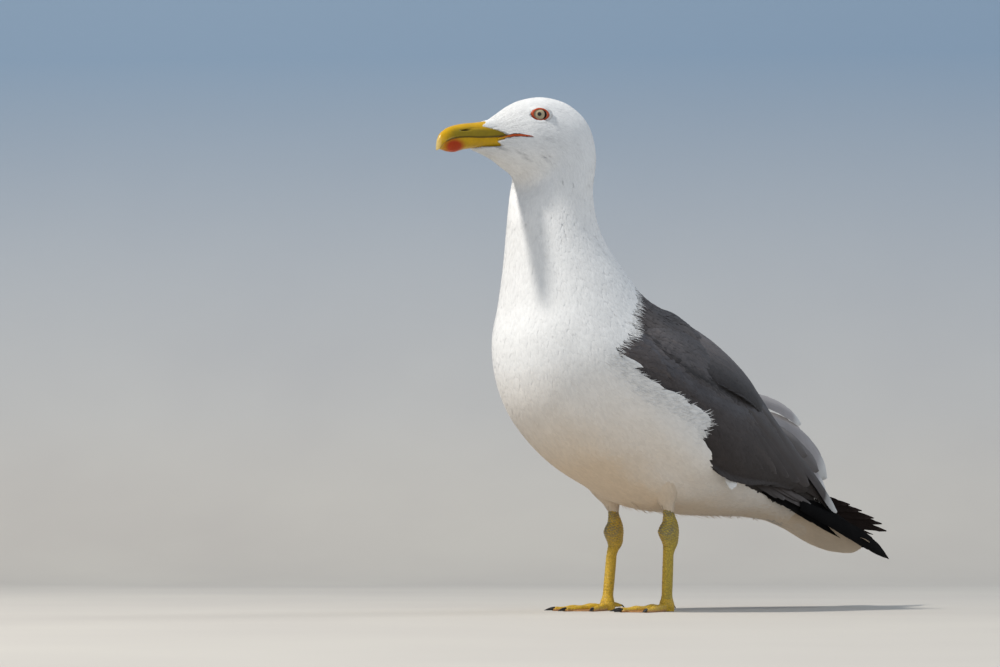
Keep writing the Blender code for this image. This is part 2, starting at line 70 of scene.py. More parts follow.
# Along the folded left wing: upper edge, lower edge (side, ahead, up), crown, tilt in degrees.
wingRows = array([
    (55, 101, 214, 57, 99, 200, 3, 20), (50, 92, 228, 57, 86, 184, 9, 20), (46, 70, 238, 60, 60, 165, 14, 20),
    (43, 38, 241, 64, 25, 143, 17, 20), (40, 0, 234, 63, -12, 124, 19, 20),
    (36, -38, 219, 58, -48, 112, 19, 22), (27, -76, 204, 51, -84, 109, 17, 26),
    (17, -114, 185, 42, -120, 106.5, 15, 30), (10, -150, 158, 34, -154, 102, 12, 34),
    (9, -184, 128, 28, -187, 94, 8, 38), (17, -216, 92, 23, -217, 81, 2, 38)], float)
scapularRows = array([
    (12, 32, 262, 44, 56, 241, 2, 50), (8, 8, 256.5, 60, 28, 214, 9, 50),
    (5, -24, 245.5, 66, -13, 189, 11, 50), (4, -58, 232, 64, -51, 177, 12, 50),
    (4, -92, 209.5, 52, -84, 168, 12, 50), (6, -120, 188, 36, -114, 158, 9, 50),
    (12, -142, 168, 24, -140, 154, 3, 50)], float)
rightLift = 12.0  # the right wing's rear end is held this much higher


def inFrame(place):
    place = np.asarray(place, float)
    return stack([place[..., 0], -place[..., 1], place[..., 2]], -1) / 1000 + shift


def fade(value, start, reach):  # from 0 at the start to 1 a reach further on
    return clip((value - start) / reach, 0, 1)


def near(value, middle, reach):  # 1 at the middle, 0 a reach away from it
    return clip(1 - abs(value - middle) / reach, 0, 1)


def readRows(table, at):  # a smooth curve through the rows; it goes straight on past the ends
    at = np.asarray(at, float)
    last = len(table) - 1
    inside = clip(at, 0, last)
    base = np.minimum(np.floor(inside).astype(int), last - 1)
    part = (inside - base)[..., None]
    padded = np.vstack([2 * table[0] - table[1], table, 2 * table[-1] - table[-2]])
    a, b, c, d = (padded[base + k] for k in range(4))
    value = 0.5 * (2 * b + (c - a) * part + (2 * a - 5 * b + 4 * c - d) * part ** 2
                   + (3 * b - a - 3 * c + d) * part ** 3)
    past = (at - inside)[..., None]
    return value + past * np.where(past > 0, table[-1] - table[-2], table[1] - table[0])


def bodyChart(u, v):  # u counts the rows, v goes round from the back over the bird's left
    row = readRows(bodyRows, u)
    low, high, half, drop = row[..., 0:2], row[..., 2:4], row[..., 4], row[..., 5]
    centre = (low + high) / 2
    turn = 2 * pi * np.asarray(v, float)
    along = cos(turn) - drop * sin(turn) ** 2
    side = np.sign(sin(turn)) * abs(sin(turn)) ** roundness * half
    reach = centre + (high - centre) * along[..., None]
    return inFrame(stack([side, reach[..., 0], reach[..., 1]], -1))


def shellChart(table, hand, sink=0.0):  # u counts the rows, v goes from the upper edge to the lower
    def chart(u, v):
        row = readRows(table, u)
        v = np.asarray(v, float)
        high, low, crown, tilt = row[..., 0:3], row[..., 3:6], row[..., 6], np.radians(row[..., 7])
        outward = stack([cos(tilt), 0 * tilt, sin(tilt)], -1)
        bulge = clip(4 * v * (1 - v), 0, None) ** 0.75
        place = high + (low - high) * v[..., None] + outward * (0.7 - sink + crown * bulge)[..., None]
        place[..., 2] += (hand < 0) * rightLift * clip(-place[..., 1] / 200, 0, 1)
        place[..., 0] *= hand
        return inFrame(place)
    return chart


def localFrame(chart, u, v, hand=1):  # place, slopes along u and v, and the outward normal
    step = 0.004
    here = chart(u, v)
    alongU = (chart(u + step, v) - here) / step
    alongV = (chart(u, v + step) - here) / step
    normal = np.cross(alongV, alongU) * hand
    normal /= np.maximum(np.linalg.norm(normal, axis=-1, keepdims=True), 1e-12)
    return here, alongU, alongV, normal


def blurred(grid, times):  # softens a grid of heights; its second axis is a closed round
    for _ in range(times):
        tall = np.pad(grid, ((1, 1), (0, 0)), mode="edge")
        grid = (tall[:-2] + 2 * tall[1:-1] + tall[2:]) / 4
        grid = (np.roll(grid, 1, 1) + 2 * grid + np.roll(grid, -1, 1)) / 4
    return grid


def spreadMost(grid, rows, columns):  # each cell takes the largest height around it
    grown = np.max([np.roll(grid, step, 0) for step in range(-rows, rows + 1)], 0)
    return np.max([np.roll(grown, step, 1) for step in range(-columns, columns + 1)], 0)


def readGrid(grid, u, v):  # between the cells of a grid over the body chart
    rows, columns = grid.shape
    a = clip(np.asarray(u, float) / lastRow, 0, 1) * (rows - 1)
    b = (np.asarray(v, float) % 1.0) * columns
    i, j = np.minimum(a.astype(int), rows - 2), b.astype(int) % columns
    p, q = a - i, b - np.floor(b)
    k = (j + 1) % columns
    return (grid[i, j] * (1 - p) * (1 - q) + grid[i + 1, j] * p * (1 - q)
            + grid[i, k] * (1 - p) * q + grid[i + 1, k] * p * q)


ankleSide, ankleUp = 28.5, 65.0
legAhead = {"left": (-4.5, -1.5), "right": (3.0, 10.5)}  # ankle, root of the toes


def thighRows(side):
    x, ankle = ankleSide * hands[side], legAhead[side][0]
    return array([(x * 0.93, ankle + 18, 138, 15, 12), (x * 0.95, ankle + 16, 124, 17, 14),
                  (x * 1.02, ankle + 12, 108, 16.5, 14.5), (x * 1.03, ankle + 7, 97, 12.5, 11.5),
                  (x, ankle + 3, 89, 7.6, 7), (x, ankle + 1, 84, 5.4, 5.2)], float)


def tubeChart(rows, grow=0.0):  # round a path: rows of (side, ahead, up, radius ahead, radius sideways)
    def chart(u, v):
        row = readRows(rows, u)
        turn = 2 * pi * np.asarray(v, float)
        side = row[..., 0] + (row[..., 4] + grow) * sin(turn)
        ahead = row[..., 1] + (row[..., 3] + grow) * cos(turn)
        return inFrame(stack([side, ahead, row[..., 2] + 0 * turn], -1))
    return chart


def chartTree(chart, reach):
    u, v = np.meshgrid(linspace(0, reach, 61), linspace(0, 1, 25), indexing="ij")
    faces = [(k, k + 1, k + 26, k + 25) for k in range(60 * 25) if k % 25 < 24]
    return BVHTree.FromPolygons([tuple(p) for p in chart(u, v).reshape(-1, 3)], faces)


# How the flank feathers lie over the wings and thighs: the grid, how far out to look, spare room, where the
# wing lets go of them, and how far the thighs may push them out.
cover = {"rows": 139, "columns": 160, "reach": 0.06, "spare": 0.0018, "fadeTo": 18.8, "fade": 1.1,
         "thigh": 0.022}


def coverHeights():  # how far the wings and thighs stand over the body, on a grid of the body chart
    wings = [chartTree(shellChart(wingRows, hand), 10) for hand in (1, -1)]
    thighs = [chartTree(tubeChart(thighRows(side)), 4.6) for side in hands]
    u, v = np.meshgrid(linspace(0, lastRow, cover["rows"]), np.arange(cover["columns"]) / cover["columns"],
                       indexing="ij")
    here, _, _, normal = localFrame(bodyChart, u, v)
    heights, legs = np.zeros(u.shape), np.zeros(u.shape)
    for index in np.ndindex(u.shape):
        far, back = int(v[index] >= 0.5), min(v[index], 1 - v[index])
        for wanted, tree, grid in ((11 < u[index] < 19 and 0.1 < back < 0.45, wings[far], heights),
                                   (14 < u[index] < 21 and 0.3 < back, thighs[far], legs)):
            if wanted:
                start = Vector(here[index] + normal[index] * cover["reach"])
                hit = tree.ray_cast(start, Vector(-normal[index]), cover["reach"])
                if hit[0] is not None:
                    grid[index] = cover["reach"] - hit[3] + cover["spare"]
    wide = blurred(spreadMost(heights, 1, 4), 14)
    legs = blurred(np.minimum(legs, cover["thigh"]), 9)
    return np.maximum(blurred(np.maximum(wide, heights), 2) * fade(u, cover["fadeTo"], -cover["fade"]), legs)


heightGrid = coverHeights()


def coatChart(u, v):  # the body chart, swollen where the flank feathers lie over the wings
    here, _, _, normal = localFrame(bodyChart, u, v)
    return here + normal * readGrid(heightGrid, u, v)[..., None]


print("charts ready")


def toned(table):
    return {name: array(tone) for name, tone in table.items()}


# Of these, the tan tone is painted warm bounce light in the shade under the body, the darkest brown is
# painted shade under the wings, and the bluish ridge tone is a painted sky highlight; the deep slate serves
# both as a darker slate and as painted shade under and between feathers.
tones = toned({
    "white": (0.82, 0.81, 0.79), "streakAndShadeGrey": (0.40, 0.39, 0.39), "bounceShadeTan": (0.62, 0.48, 0.33),
    "slate": (0.074, 0.067, 0.069), "slateWarm": (0.112, 0.091, 0.082), "slateDeep": (0.028, 0.021, 0.018),
    "ridge": (0.115, 0.125, 0.150), "underWingShade": (0.026, 0.021, 0.019), "black": (0.006, 0.0055, 0.0055),
    "brownBlack": (0.020, 0.014, 0.012), "pale": (0.32, 0.295, 0.295), "paleShade": (0.085, 0.072, 0.068)})

# Where white gives way to slate: for u along the body, the share of the round from the back that is slate.
slateEdge = {
    "u": [0, 11.4, 11.6, 11.78, 12.1, 12.4, 12.9, 12.98, 13.06, 13.14, 13.5, 13.9, 14.4, 14.95, 15.25, 15.85,
          16.3, 16.6, 16.8, 17.4, 17.8, 18.4, 19.2, 19.9, 20.8, 21.3, 21.8, 22.6, 23, 30],
    "v": [0, 0, 0.08, 0.131, 0.165, 0.215, 0.240, 0.262, 0.282, 0.297, 0.293, 0.287, 0.284, 0.281, 0.267,
          0.264, 0.254, 0.262, 0.290, 0.303, 0.312, 0.318, 0.318, 0.322, 0.336, 0.345, 0.349, 0.345, 0.2,
          0.2]}
rumpEdge = {"u": [18.8, 19.5], "v": [-0.05, 0.20]}  # the rump's back is white again between the wings

# Small dark marks: place on the chart, reach, strength. The first three, along the chin under the bill, are
# painted shade; the others are grey stains on the throat and ear, and on the vent.
marks = [(1.1, 0.372, 1.0, 0.012, 0.55), (2.4, 0.359, 0.5, 0.010, 0.45), (2.85, 0.373, 0.45, 0.012, 0.35),
         (4.0, 0.335, 0.8, 0.012, 0.22), (5.83, 0.313, 0.10, 0.006, 0.8), (6.5, 0.276, 0.10, 0.006, 0.8),
         (3.6, 0.255, 0.7, 0.008, 0.20), (21.8, 0.497, 0.5, 0.02, 0.9)]


def fromBack(v):
    v = np.asarray(v, float) % 1.0
    return np.minimum(v, 1 - v)


def mix(a, b, share):
    share = clip(np.asarray(share, float), 0, 1)[..., None]
    return a * (1 - share) + b * share


def ripple(u, v, seed, scale):  # a smooth repeatable unevenness between about -1 and 1
    draw = np.random.default_rng(seed)
    total = np.zeros(np.broadcast(u, v).shape)
    for _ in range(6):
        a, b = draw.uniform(-1, 1, 2) * scale
        total = total + sin(a * np.asarray(u) + 2 * pi * round(b * 6) * np.asarray(v) + draw.uniform(0, 6.3))
    return total / 3


def slateShare(u, v):
    outer = interp(u, *slateEdge.values()) - fromBack(v) + 0.006 * ripple(u, v, 5, 9)
    return np.minimum(outer / 0.008 + 0.5, (fromBack(v) - interp(u, *rumpEdge.values())) / 0.008 + 0.5)


def markings(u, v, slateness=1.0):  # the same for skin and coat
    u, back = np.asarray(u, float), fromBack(v)
    # The belly and lower rear turn tan: painted warm bounce light in the shade under the body.
    base = mix(tones["white"], tones["bounceShadeTan"], 0.85 * fade(back, 0.27, 0.16) * fade(u, 12.2, 3.5))
    face = near(u, 3.0, 3.2) * clip(ripple(u, v, 3, 14), 0, 1)
    base = mix(base, tones["streakAndShadeGrey"], 0.16 * face)
    # The marks along the chin paint shade under the bill; the others are grey stains.
    for markU, markV, reachU, reachV, share in marks:
        spot = near(np.hypot((u - markU) / reachU, (back - markV) / reachV), 0, 1)
        base = mix(base, tones["streakAndShadeGrey"] * 0.5, share * spot)
    slate = mix(tones["slate"], tones["slateWarm"], 0.35 + 0.3 * ripple(u, v, 8, 4))
    # Darker towards the rear on the sides: painted shade under the wings.
    slate = mix(slate, tones["underWingShade"], fade(u, 17.8, 1.0) * (back > 0.2))
    return mix(base, slate, slateShare(u, v) * slateness)


def newMaterial(name, **values):
    made = bpy.data.materials.new(name)
    made.use_nodes = True
    shader = made.node_tree.nodes["Principled BSDF"]
    for socket, value in values.items():
        shader.inputs[socket.replace("_", " ")].default_value = value
    return made, made.node_tree, shader


def addNode(tree, kind, inputs=None, **settings):
    node = tree.nodes.new("ShaderNode" + kind)
    for name, value in settings.items():
        setattr(node, name, value)
    for name, value in (inputs or {}).items():
        if isinstance(value, bpy.types.NodeSocket):
            tree.links.new(value, node.inputs[name])
        else:
            node.inputs[name].default_value = value
    return node


def ramp(tree, value, stops):
    node = addNode(tree, "ValToRGB", {"Fac": value})
    while len(node.color_ramp.elements) < len(stops):
        node.color_ramp.elements.new(0.5)
    for element, (at, shade) in zip(node.color_ramp.elements, stops):
        element.position = at
        element.color = (shade, shade, shade, 1) if isinstance(shade, (int, float)) else (*shade, 1)
    return node.outputs["Color"]


def noise(tree, place, scale, detail):
    return addNode(tree, "TexNoise", {"Vector": place, "Scale": scale, "Detail": detail}).outputs["Fac"]


def blend(tree, share, a, b, kind="MIX"):
    return addNode(tree, "Mix", {"Factor": share, "A": a, "B": b}, data_type="RGBA",
                   blend_type=kind).outputs["Result"]


def shaded(tree, colour, value, stops):
    return blend(tree, 1.0, colour, ramp(tree, value, stops), "MULTIPLY")


def surface(made, colour, height, strength, depth):
    tree = made.node_tree
    shader = tree.nodes["Principled BSDF"]
    tree.links.new(colour, shader.inputs["Base Color"])
    bump = addNode(tree, "Bump", {"Height": height, "Strength": strength, "Distance": depth})
    tree.links.new(bump.outputs["Normal"], shader.inputs["Normal"])
    return made


def plumage(name, roughness, sheen, barbs, depth, low, high, gloss=0.25):
    made, tree, _ = newMaterial(name, Roughness=roughness, Sheen_Weight=sheen, Sheen_Roughness=0.5,
                                Specular_IOR_Level=gloss)
    colour = addNode(tree, "Attribute", attribute_name="plumage").outputs["Color"]
    place = addNode(tree, "TexCoord").outputs["Object"]
    patch, fine = noise(tree, place, 90.0, 3.0), noise(tree, place, 900.0, 2.0)
    vane = addNode(tree, "UVMap", uv_map="vane").outputs["UV"]
    stretched = addNode(tree, "Mapping", {"Vector": vane, "Scale": barbs}).outputs["Vector"]
    strand = noise(tree, stretched, 1.0, 2.0)
    for grain in (patch, strand):
        colour = shaded(tree, colour, grain, [(0.3, low), (0.7, high)])
    both = addNode(tree, "Math", {0: strand, 1: fine}, operation="ADD").outputs["Value"]
    return surface(made, colour, both, 0.35, depth)


def bareSkin(name, roughness, scale, depth, tint, gloss=0.45):  # fine grain, coloured by its attribute
    made, tree, _ = newMaterial(name, Roughness=roughness, Specular_IOR_Level=gloss)
    colour = addNode(tree, "Attribute", attribute_name="plumage").outputs["Color"]
    place = addNode(tree, "TexCoord").outputs["Object"]
    grain, broad = noise(tree, place, scale, 4.0), noise(tree, place, scale * 0.2, 2.0)
    for each in (grain, broad):
        colour = shaded(tree, colour, each, [(0.3, tint), (0.7, 1.0)])
    return surface(made, colour, grain, 0.5, depth)


def legScales():
    made, tree, _ = newMaterial("legScales", Roughness=0.42, Specular_IOR_Level=0.5)
    colour = addNode(tree, "Attribute", attribute_name="plumage").outputs["Color"]
    place = addNode(tree, "TexCoord").outputs["Object"]
    cells = addNode(tree, "TexVoronoi", {"Vector": place, "Scale": 620.0}, feature="DISTANCE_TO_EDGE")
    cells = cells.outputs["Distance"]
    colour = shaded(tree, colour, cells, [(0.0, 0.55), (0.12, 1.0)])
    colour = shaded(tree, colour, noise(tree, place, 500.0, 4.0), [(0.3, 0.75), (0.65, 1.0)])
    return surface(made, colour, ramp(tree, cells, [(0.0, 0.0), (0.2, 1.0)]), 0.5, 0.0004)


# Finishes: a material and the record's slot.
whiteFinish = (plumage("whiteDown", 0.9, 0.10, (14, 2, 1), 0.0001, 0.955, 1.0), "white_feathers")
slateFinish = (plumage("slateVane", 0.7, 0.06, (26, 3, 1), 0.00012, 0.88, 1.06, 0.15), "slate_feathers")
blackFinish = (plumage("blackVane", 0.85, 0.0, (30, 3, 1), 0.00012, 0.7, 1.1, 0.03), "black_feathers")
paleFinish = (plumage("paleVane", 0.7, 0.15, (24, 3, 1), 0.00012, 0.9, 1.03), "slate_feathers")
ringFinish = (bareSkin("orbitalSkin", 0.45, 1500.0, 0.0002, 0.7), "iris")
billFinish = (bareSkin("billHorn", 0.30, 420.0, 0.00015, 0.86, 0.28), "bill")
legFinish = (legScales(), "leg_skin")
clawFinish = (bareSkin("clawHorn", 0.32, 600.0, 0.0001, 0.6), "claw")


def finishPiece(obj, finish, nodes=()):
    material, slot = finish
    obj.data.materials.append(material)
    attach(obj, "root")
    if nodes:
        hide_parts(*nodes)
    return obj


def placeInScene(name, mesh):
    obj = bpy.data.objects.new(name, mesh)
    bpy.context.scene.collection.objects.link(obj)
    return obj


def paintPoints(mesh, colours):
    layer = mesh.color_attributes.new("plumage", "FLOAT_COLOR", "POINT")
    flat = np.ones((len(mesh.vertices), 4), np.float32)
    flat[:, :3] = colours
    layer.data.foreach_set("color", flat.ravel())


def dressPiece(obj, colours, finish, nodes=()):
    paintPoints(obj.data, colours)
    if finish in (whiteFinish, slateFinish):
        obj.data.uv_layers.new(name="vane")
    return finishPiece(obj, finish, nodes)


# A vane's shape: stations from root to tip as (share of the length, share of the width), and the section
# as (across, height) pairs that go round it.
tuftSection = [(-1, 0), (0, 1), (1, 0)]
vaneSection = [(-1, 0), (-0.5, 0.85), (-0.06, 1), (0.06, 1.0), (0.5, 0.85), (1, 0), (0.5, -0.15),
               (-0.5, -0.15)]


def tuft(*stations):
    return {"stations": stations, "section": tuftSection, "point": True}


faceTuft = tuft((0, 0.55), (0.6, 1.0))
bodyTuft = tuft((0, 0.5), (0.5, 1.0), (0.82, 0.72))
slateTuft = tuft((0, 0.5), (0.45, 1.0), (0.8, 0.85))
strandTuft = tuft((0, 0.7), (0.35, 1.0), (0.7, 0.75))
longVane = [(0, 0.45), (0.12, 0.7), (0.25, 0.86), (0.4, 0.96), (0.55, 1.0), (0.7, 1.0), (0.82, 0.95),
            (0.9, 0.83), (0.95, 0.66), (0.98, 0.45), (1.0, 0.2)]
bladeVane = [(0, 0.6), (0.15, 0.8), (0.35, 0.95), (0.55, 1.0), (0.72, 0.9), (0.84, 0.68), (0.92, 0.44),
             (0.97, 0.24), (1.0, 0.06)]
tailVane = [(0, 0.75), (0.3, 0.85), (0.6, 0.95), (0.8, 1.0), (0.9, 0.97), (0.96, 0.82), (0.99, 0.55),
            (1.0, 0.3)]


def sharesOf(shape):
    return array([s[0] for s in shape["stations"]] + [1.0] * shape["point"])


def vanePath(chart, start, end, shares, hand=1):
    u, v = (start[:, k:k + 1] + (end[:, k:k + 1] - start[:, k:k + 1]) * shares for k in (0, 1))
    here, alongU, alongV, normal = localFrame(chart, u, v, hand)
    reach = (end - start)[:, :, None, None]
    along = alongU * reach[:, 0] + alongV * reach[:, 1]
    across = np.cross(normal, along)
    across /= np.maximum(np.linalg.norm(across, axis=-1, keepdims=True), 1e-12)
    return here, across, normal


def straightPath(starts, ends, outward, shares, bow=0.0):  # places, across and normals of free blades
    starts, ends = inFrame(starts), inFrame(ends)
    outward = np.broadcast_to(np.asarray(outward, float) * (1, -1, 1), starts.shape)[:, None]
    bow = np.broadcast_to(np.asarray(bow, float) * (1, -1, 1) / 1000, starts.shape)[:, None]
    shares = shares[:, None]
    here = starts[:, None] + (ends - starts)[:, None] * shares + bow * (4 * shares * (1 - shares))
    along = (ends - starts)[:, None] + bow * (4 * (1 - 2 * shares))
    along /= np.linalg.norm(along, axis=-1, keepdims=True)
    normal = outward - along * (outward * along).sum(-1, keepdims=True)
    normal /= np.linalg.norm(normal, axis=-1, keepdims=True)
    return here, np.cross(normal, along), normal


def frayed(outline, half, seed, teeth, depth, stations=44):
    # a long vane's shape and its widths, with splits in the edges where barbs have parted
    draw = np.random.default_rng(seed)
    half, along = np.atleast_1d(half), linspace(0, 1, stations)[:, None]
    count = len(half)
    width = interp(along[:, 0], *array(outline).T)
    phase = draw.uniform(0, 1, (count, 1, 2))
    pace = teeth * draw.uniform(0.8, 1.2, (count, 1, 2))
    tooth = ((along + 0.05 * sin(along * 17 + phase * 6.3)) * pace + phase) % 1.0
    notch = 0.4 + 0.6 * draw.random((count, stations, 2)) ** 2
    bite = depth * (1 - tooth) ** 2 * notch * clip(along * 4, 0, 1)
    full = half[:, None, None] * width[:, None] * np.maximum(1 - bite, 0.12)
    return {"stations": [(s, 1.0) for s in along[:, 0]], "section": vaneSection, "point": False}, full


def growVanes(name, path, half, lift, thick, droop, shape, colours, roots, finish, nodes=()):
    # path: places, across and normals, each (count, stations, 3); half: (count,) in metres, or
    # (count, stations, 2) for each side of the shaft; lift: (count, stations) over the surface;
    # colours: (count, 3) or (count, stations, 3)
    here, across, normal = path
    count, steps = here.shape[:2]
    point, ring = int(shape["point"]), len(shape["section"])
    full = steps - point
    share = sharesOf(shape)
    width = array([s[1] for s in shape["stations"]] + [0.0] * point)
    b, c = array(shape["section"], float).T
    lift, thick, droop = (np.broadcast_to(each, (count, size)) for each, size in
                          ((lift, steps), (np.reshape(thick, (-1, 1)), 1), (np.reshape(droop, (-1, 1)), 1)))
    centre = here + normal * lift[..., None]
    if half.ndim == 1:
        half = (half[:, None] * width)[..., None].repeat(2, -1)
    reach = np.where(b > 0, half[:, :, 1:], half[:, :, :1]) * b
    rise = (thick[..., None] * c * (1 - 0.6 * share[:, None])
            - droop[..., None] * b ** 2 * (width ** 2)[:, None])
    places = centre[:, :, None] + across[:, :, None] * reach[..., None] + normal[:, :, None] * rise[..., None]
    body = places[:, :full].reshape(count, -1, 3)
    last = (full - 1) * ring
    faces = [(i + j, i + ring + j, i + ring + (j + 1) % ring, i + (j + 1) % ring)
             for i in range(0, last, ring) for j in range(ring)]
    if point:
        body = np.concatenate([body, centre[:, -1:]], 1)
        faces += [(last + j, last + ring, last + (j + 1) % ring) for j in range(ring)]
    else:
        faces.append(tuple(range(last, last + ring)))
    faces.append(tuple(range(ring - 1, -1, -1)))
    each, flat = body.shape[1], np.concatenate(faces)
    sizes = np.tile([len(face) for face in faces], count)

    mesh = bpy.data.meshes.new(name)
    mesh.vertices.add(count * each)
    mesh.vertices.foreach_set("co", body.astype(np.float32).ravel())
    loops = (flat + np.arange(count)[:, None] * each).ravel()
    mesh.loops.add(len(loops))
    mesh.loops.foreach_set("vertex_index", loops.astype(np.int32))
    mesh.polygons.add(len(sizes))
    mesh.polygons.foreach_set("loop_start", (np.cumsum(sizes) - sizes).astype(np.int32))
    mesh.update(calc_edges=True)
    mesh.shade_smooth()
    mesh.set_sharp_from_angle(angle=math.radians(50))

    if colours.ndim == 2:
        colours = colours[:, None].repeat(steps, 1)
    tint = colours[:, :full, None].repeat(ring, 2).reshape(count, -1, 3)
    across, along = np.tile(b, full), share[:full].repeat(ring)
    if point:
        tint = np.concatenate([tint, colours[:, -1:]], 1)
        across, along = np.append(across, 0), np.append(along, 1)
    paintPoints(mesh, tint.reshape(-1, 3))
    patch = 0.0015  # half of a tuft's patch in the baked colours, laid at its root
    who = np.arange(count).repeat(len(flat))
    x, y = np.tile(across[flat], count), np.tile(along[flat], count)
    spot = stack([roots[who, 0] + (y * 2 - 1) * patch, roots[who, 1] + x * patch], -1)
    jitter = (who * 0.618) % 7.0
    for layer, places in (("OFBake", spot), ("vane", stack([x * 0.5 + jitter, y + jitter], -1))):
        mesh.uv_layers.new(name=layer).data.foreach_set("uv", places.astype(np.float32).ravel())
    mesh.uv_layers.active = mesh.uv_layers["OFBake"]
    return finishPiece(placeInScene(name, mesh), finish, nodes)


def scatter(chart, uSpan, vSpan, count, seed):  # evenly spread places on a chart
    cells = 240
    u, v = linspace(*uSpan, cells + 1), linspace(*vSpan, cells + 1)
    midU, midV = np.meshgrid((u[1:] + u[:-1]) / 2, (v[1:] + v[:-1]) / 2, indexing="ij")
    _, alongU, alongV, _ = localFrame(chart, midU, midV)
    area = np.linalg.norm(np.cross(alongU, alongV), axis=-1)
    rowTotal = area.sum(1)
    order = np.arange(count) + 0.5
    first, other = ((order * pace + seed * start) % 1.0 for pace, start in
                    ((0.7548776662466927, 0.31), (0.5698402909980532, 0.17)))
    pile, flat = (np.concatenate([[0], np.cumsum(sizes)]) for sizes in (rowTotal, area.ravel()))
    target = first * pile[-1]
    i = clip(np.searchsorted(pile, target, side="right") - 1, 0, cells - 1)
    pickedU = u[i] + (u[1] - u[0]) * (target - pile[i]) / np.maximum(rowTotal[i], 1e-12)
    target = flat[i * cells] + other * rowTotal[i]
    j = clip(np.searchsorted(flat, target, side="right") - 1, 0, cells ** 2 - 1)
    column = clip(j - i * cells, 0, cells - 1)
    pickedV = v[column] + (v[1] - v[0]) * clip((target - flat[j]) / np.maximum(area.ravel()[j], 1e-15), 0, 1)
    return stack([pickedU, pickedV], -1)


def heading(chart, start, angle, length, hand=1):  # the chart places a length away along a heading from +u
    _, alongU, alongV, _ = localFrame(chart, *start.T, hand)
    reachU = np.linalg.norm(alongU, axis=-1)
    east = alongU / reachU[:, None]
    lean = (alongV * east).sum(-1)
    north = alongV - east * lean[:, None]
    dv = length * sin(angle) / np.linalg.norm(north, axis=-1)
    du = (length * cos(angle) - dv * lean) / reachU
    return start + stack([du, dv], -1)


def chartPatch(start, uSpan, vSpan):  # the root's place on the unwrapped chart, for the baked colours
    (uFrom, uTo), (vFrom, vTo) = uSpan, vSpan
    share = (start - (uFrom, vFrom)) / (uTo - uFrom, vTo - vFrom)
    return 0.02 + 0.96 * clip(share, 0, 1)


def spread(count):  # places for a few blades on the unwrapped chart
    return stack([linspace(0.02, 0.98, count)] * 2, -1)


def layTufts(name, chart, start, end, look, tint, spans, finish, hand=1, nodes=()):
    # look: shape, half width, the roots' depth and its curve, unevenness, thickness and droop by width
    draw = np.random.default_rng(look.get("seed", 1))
    shares, half = sharesOf(look["shape"]), look["half"]
    level = draw.uniform(-1, 1, (len(start), 1)) * look["level"]
    lift = level - look["deep"] * (1 - shares) ** look["curve"]
    lift = lift + np.reshape(look.get("raise", 0.0), (-1, 1)) * shares
    return growVanes(name, vanePath(chart, start, end, shares, hand), half, lift, half * look["thick"],
                     half * look["droop"], look["shape"], tint, chartPatch(start, *spans), finish, nodes)


def gridPiece(name, nu, nv, placeAt, closed=False, capped=True):
    # placeAt(u, v) takes shares 0..1; a closed piece meets itself along v, and its ends along u are capped
    bm = bmesh.new()
    bmesh.ops.create_grid(bm, x_segments=nu, y_segments=nv, size=0.5)
    shares = array([(v.co.x + 0.5, v.co.y + 0.5) for v in bm.verts])
    for vert, place in zip(bm.verts, placeAt(*shares.T)):
        vert.co = place
    if closed:
        bmesh.ops.remove_doubles(bm, verts=bm.verts, dist=1e-6)
        if capped:
            bmesh.ops.holes_fill(bm, edges=[e for e in bm.edges if e.is_boundary], sides=0)
    bmesh.ops.recalc_face_normals(bm, faces=bm.faces)
    mesh = bpy.data.meshes.new(name)
    bm.to_mesh(mesh)
    bm.free()
    mesh.shade_smooth()
    mesh.set_sharp_from_angle(angle=math.radians(60))
    return placeInScene(name, mesh)


def joinPieces(name, pieces):
    bm = bmesh.new()
    for piece in pieces:
        bm.from_mesh(piece.data)
        bpy.data.objects.remove(piece)
    mesh = bpy.data.meshes.new(name)
    bm.to_mesh(mesh)
    bm.free()
    return placeInScene(name, mesh)


def meshPlaces(mesh):
    places = np.zeros(len(mesh.vertices) * 3, np.float32)
    mesh.vertices.foreach_get("co", places)
    return places.reshape(-1, 3).astype(float)


def partPlaces(places):  # back from the frame to side, ahead and up
    return (places - shift) * (1000, -1000, 1000)


skinDepth = {"at": [0, 1, 1.6, 2.3, 3, 6, 8, 12, 20, 23],
             "depth": [2.6, 3.4, 3.0, 1.8, 1.4, 1.5, 1.6, 2.2, 2.6, 2.4]}


def makeSkin():
    def trunk(u, v):
        here, _, _, normal = localFrame(bodyChart, u * lastRow, v)
        deep = interp(u * lastRow, *skinDepth.values())
        for hand in (1, -1):  # the sockets, where the skin sinks to let the lids stand
            deep = deep + 2.4 * clip(1.9 - eyeDistance(here, hand), 0, 1) * (here[:, 0] * hand > 0)
        return here - normal * deep[:, None] / 1000
    parts = [gridPiece("trunkSkin", 150, 90, trunk, closed=True)]
    for side in hands:
        chart = tubeChart(thighRows(side), -2.0)
        parts.append(gridPiece("thighSkin", 24, 32, lambda u, v: chart(u * 5, v), closed=True))
    skin = joinPieces("skin", parts)
    remesh = skin.modifiers.new("remesh", "REMESH")
    remesh.mode, remesh.voxel_size, remesh.use_smooth_shade = "VOXEL", 0.0024, True
    skin.data = bpy.data.meshes.new_from_object(skin.evaluated_get(bpy.context.evaluated_depsgraph_get()))
    skin.modifiers.clear()
    skin.data.name = "skin"
    grid = np.meshgrid(linspace(0, lastRow, 116), np.arange(96) / 96, indexing="ij")
    u, v = (each.ravel() for each in grid)
    tree = KDTree(u.size)
    for index, place in enumerate(bodyChart(u, v)):
        tree.insert(place, index)
    tree.balance()
    nearest = [tree.find(place)[1] for place in meshPlaces(skin.data)]
    dressPiece(skin, markings(u, v)[nearest], whiteFinish,
               ("head", "neck", "trunk", "thigh_left", "thigh_right"))


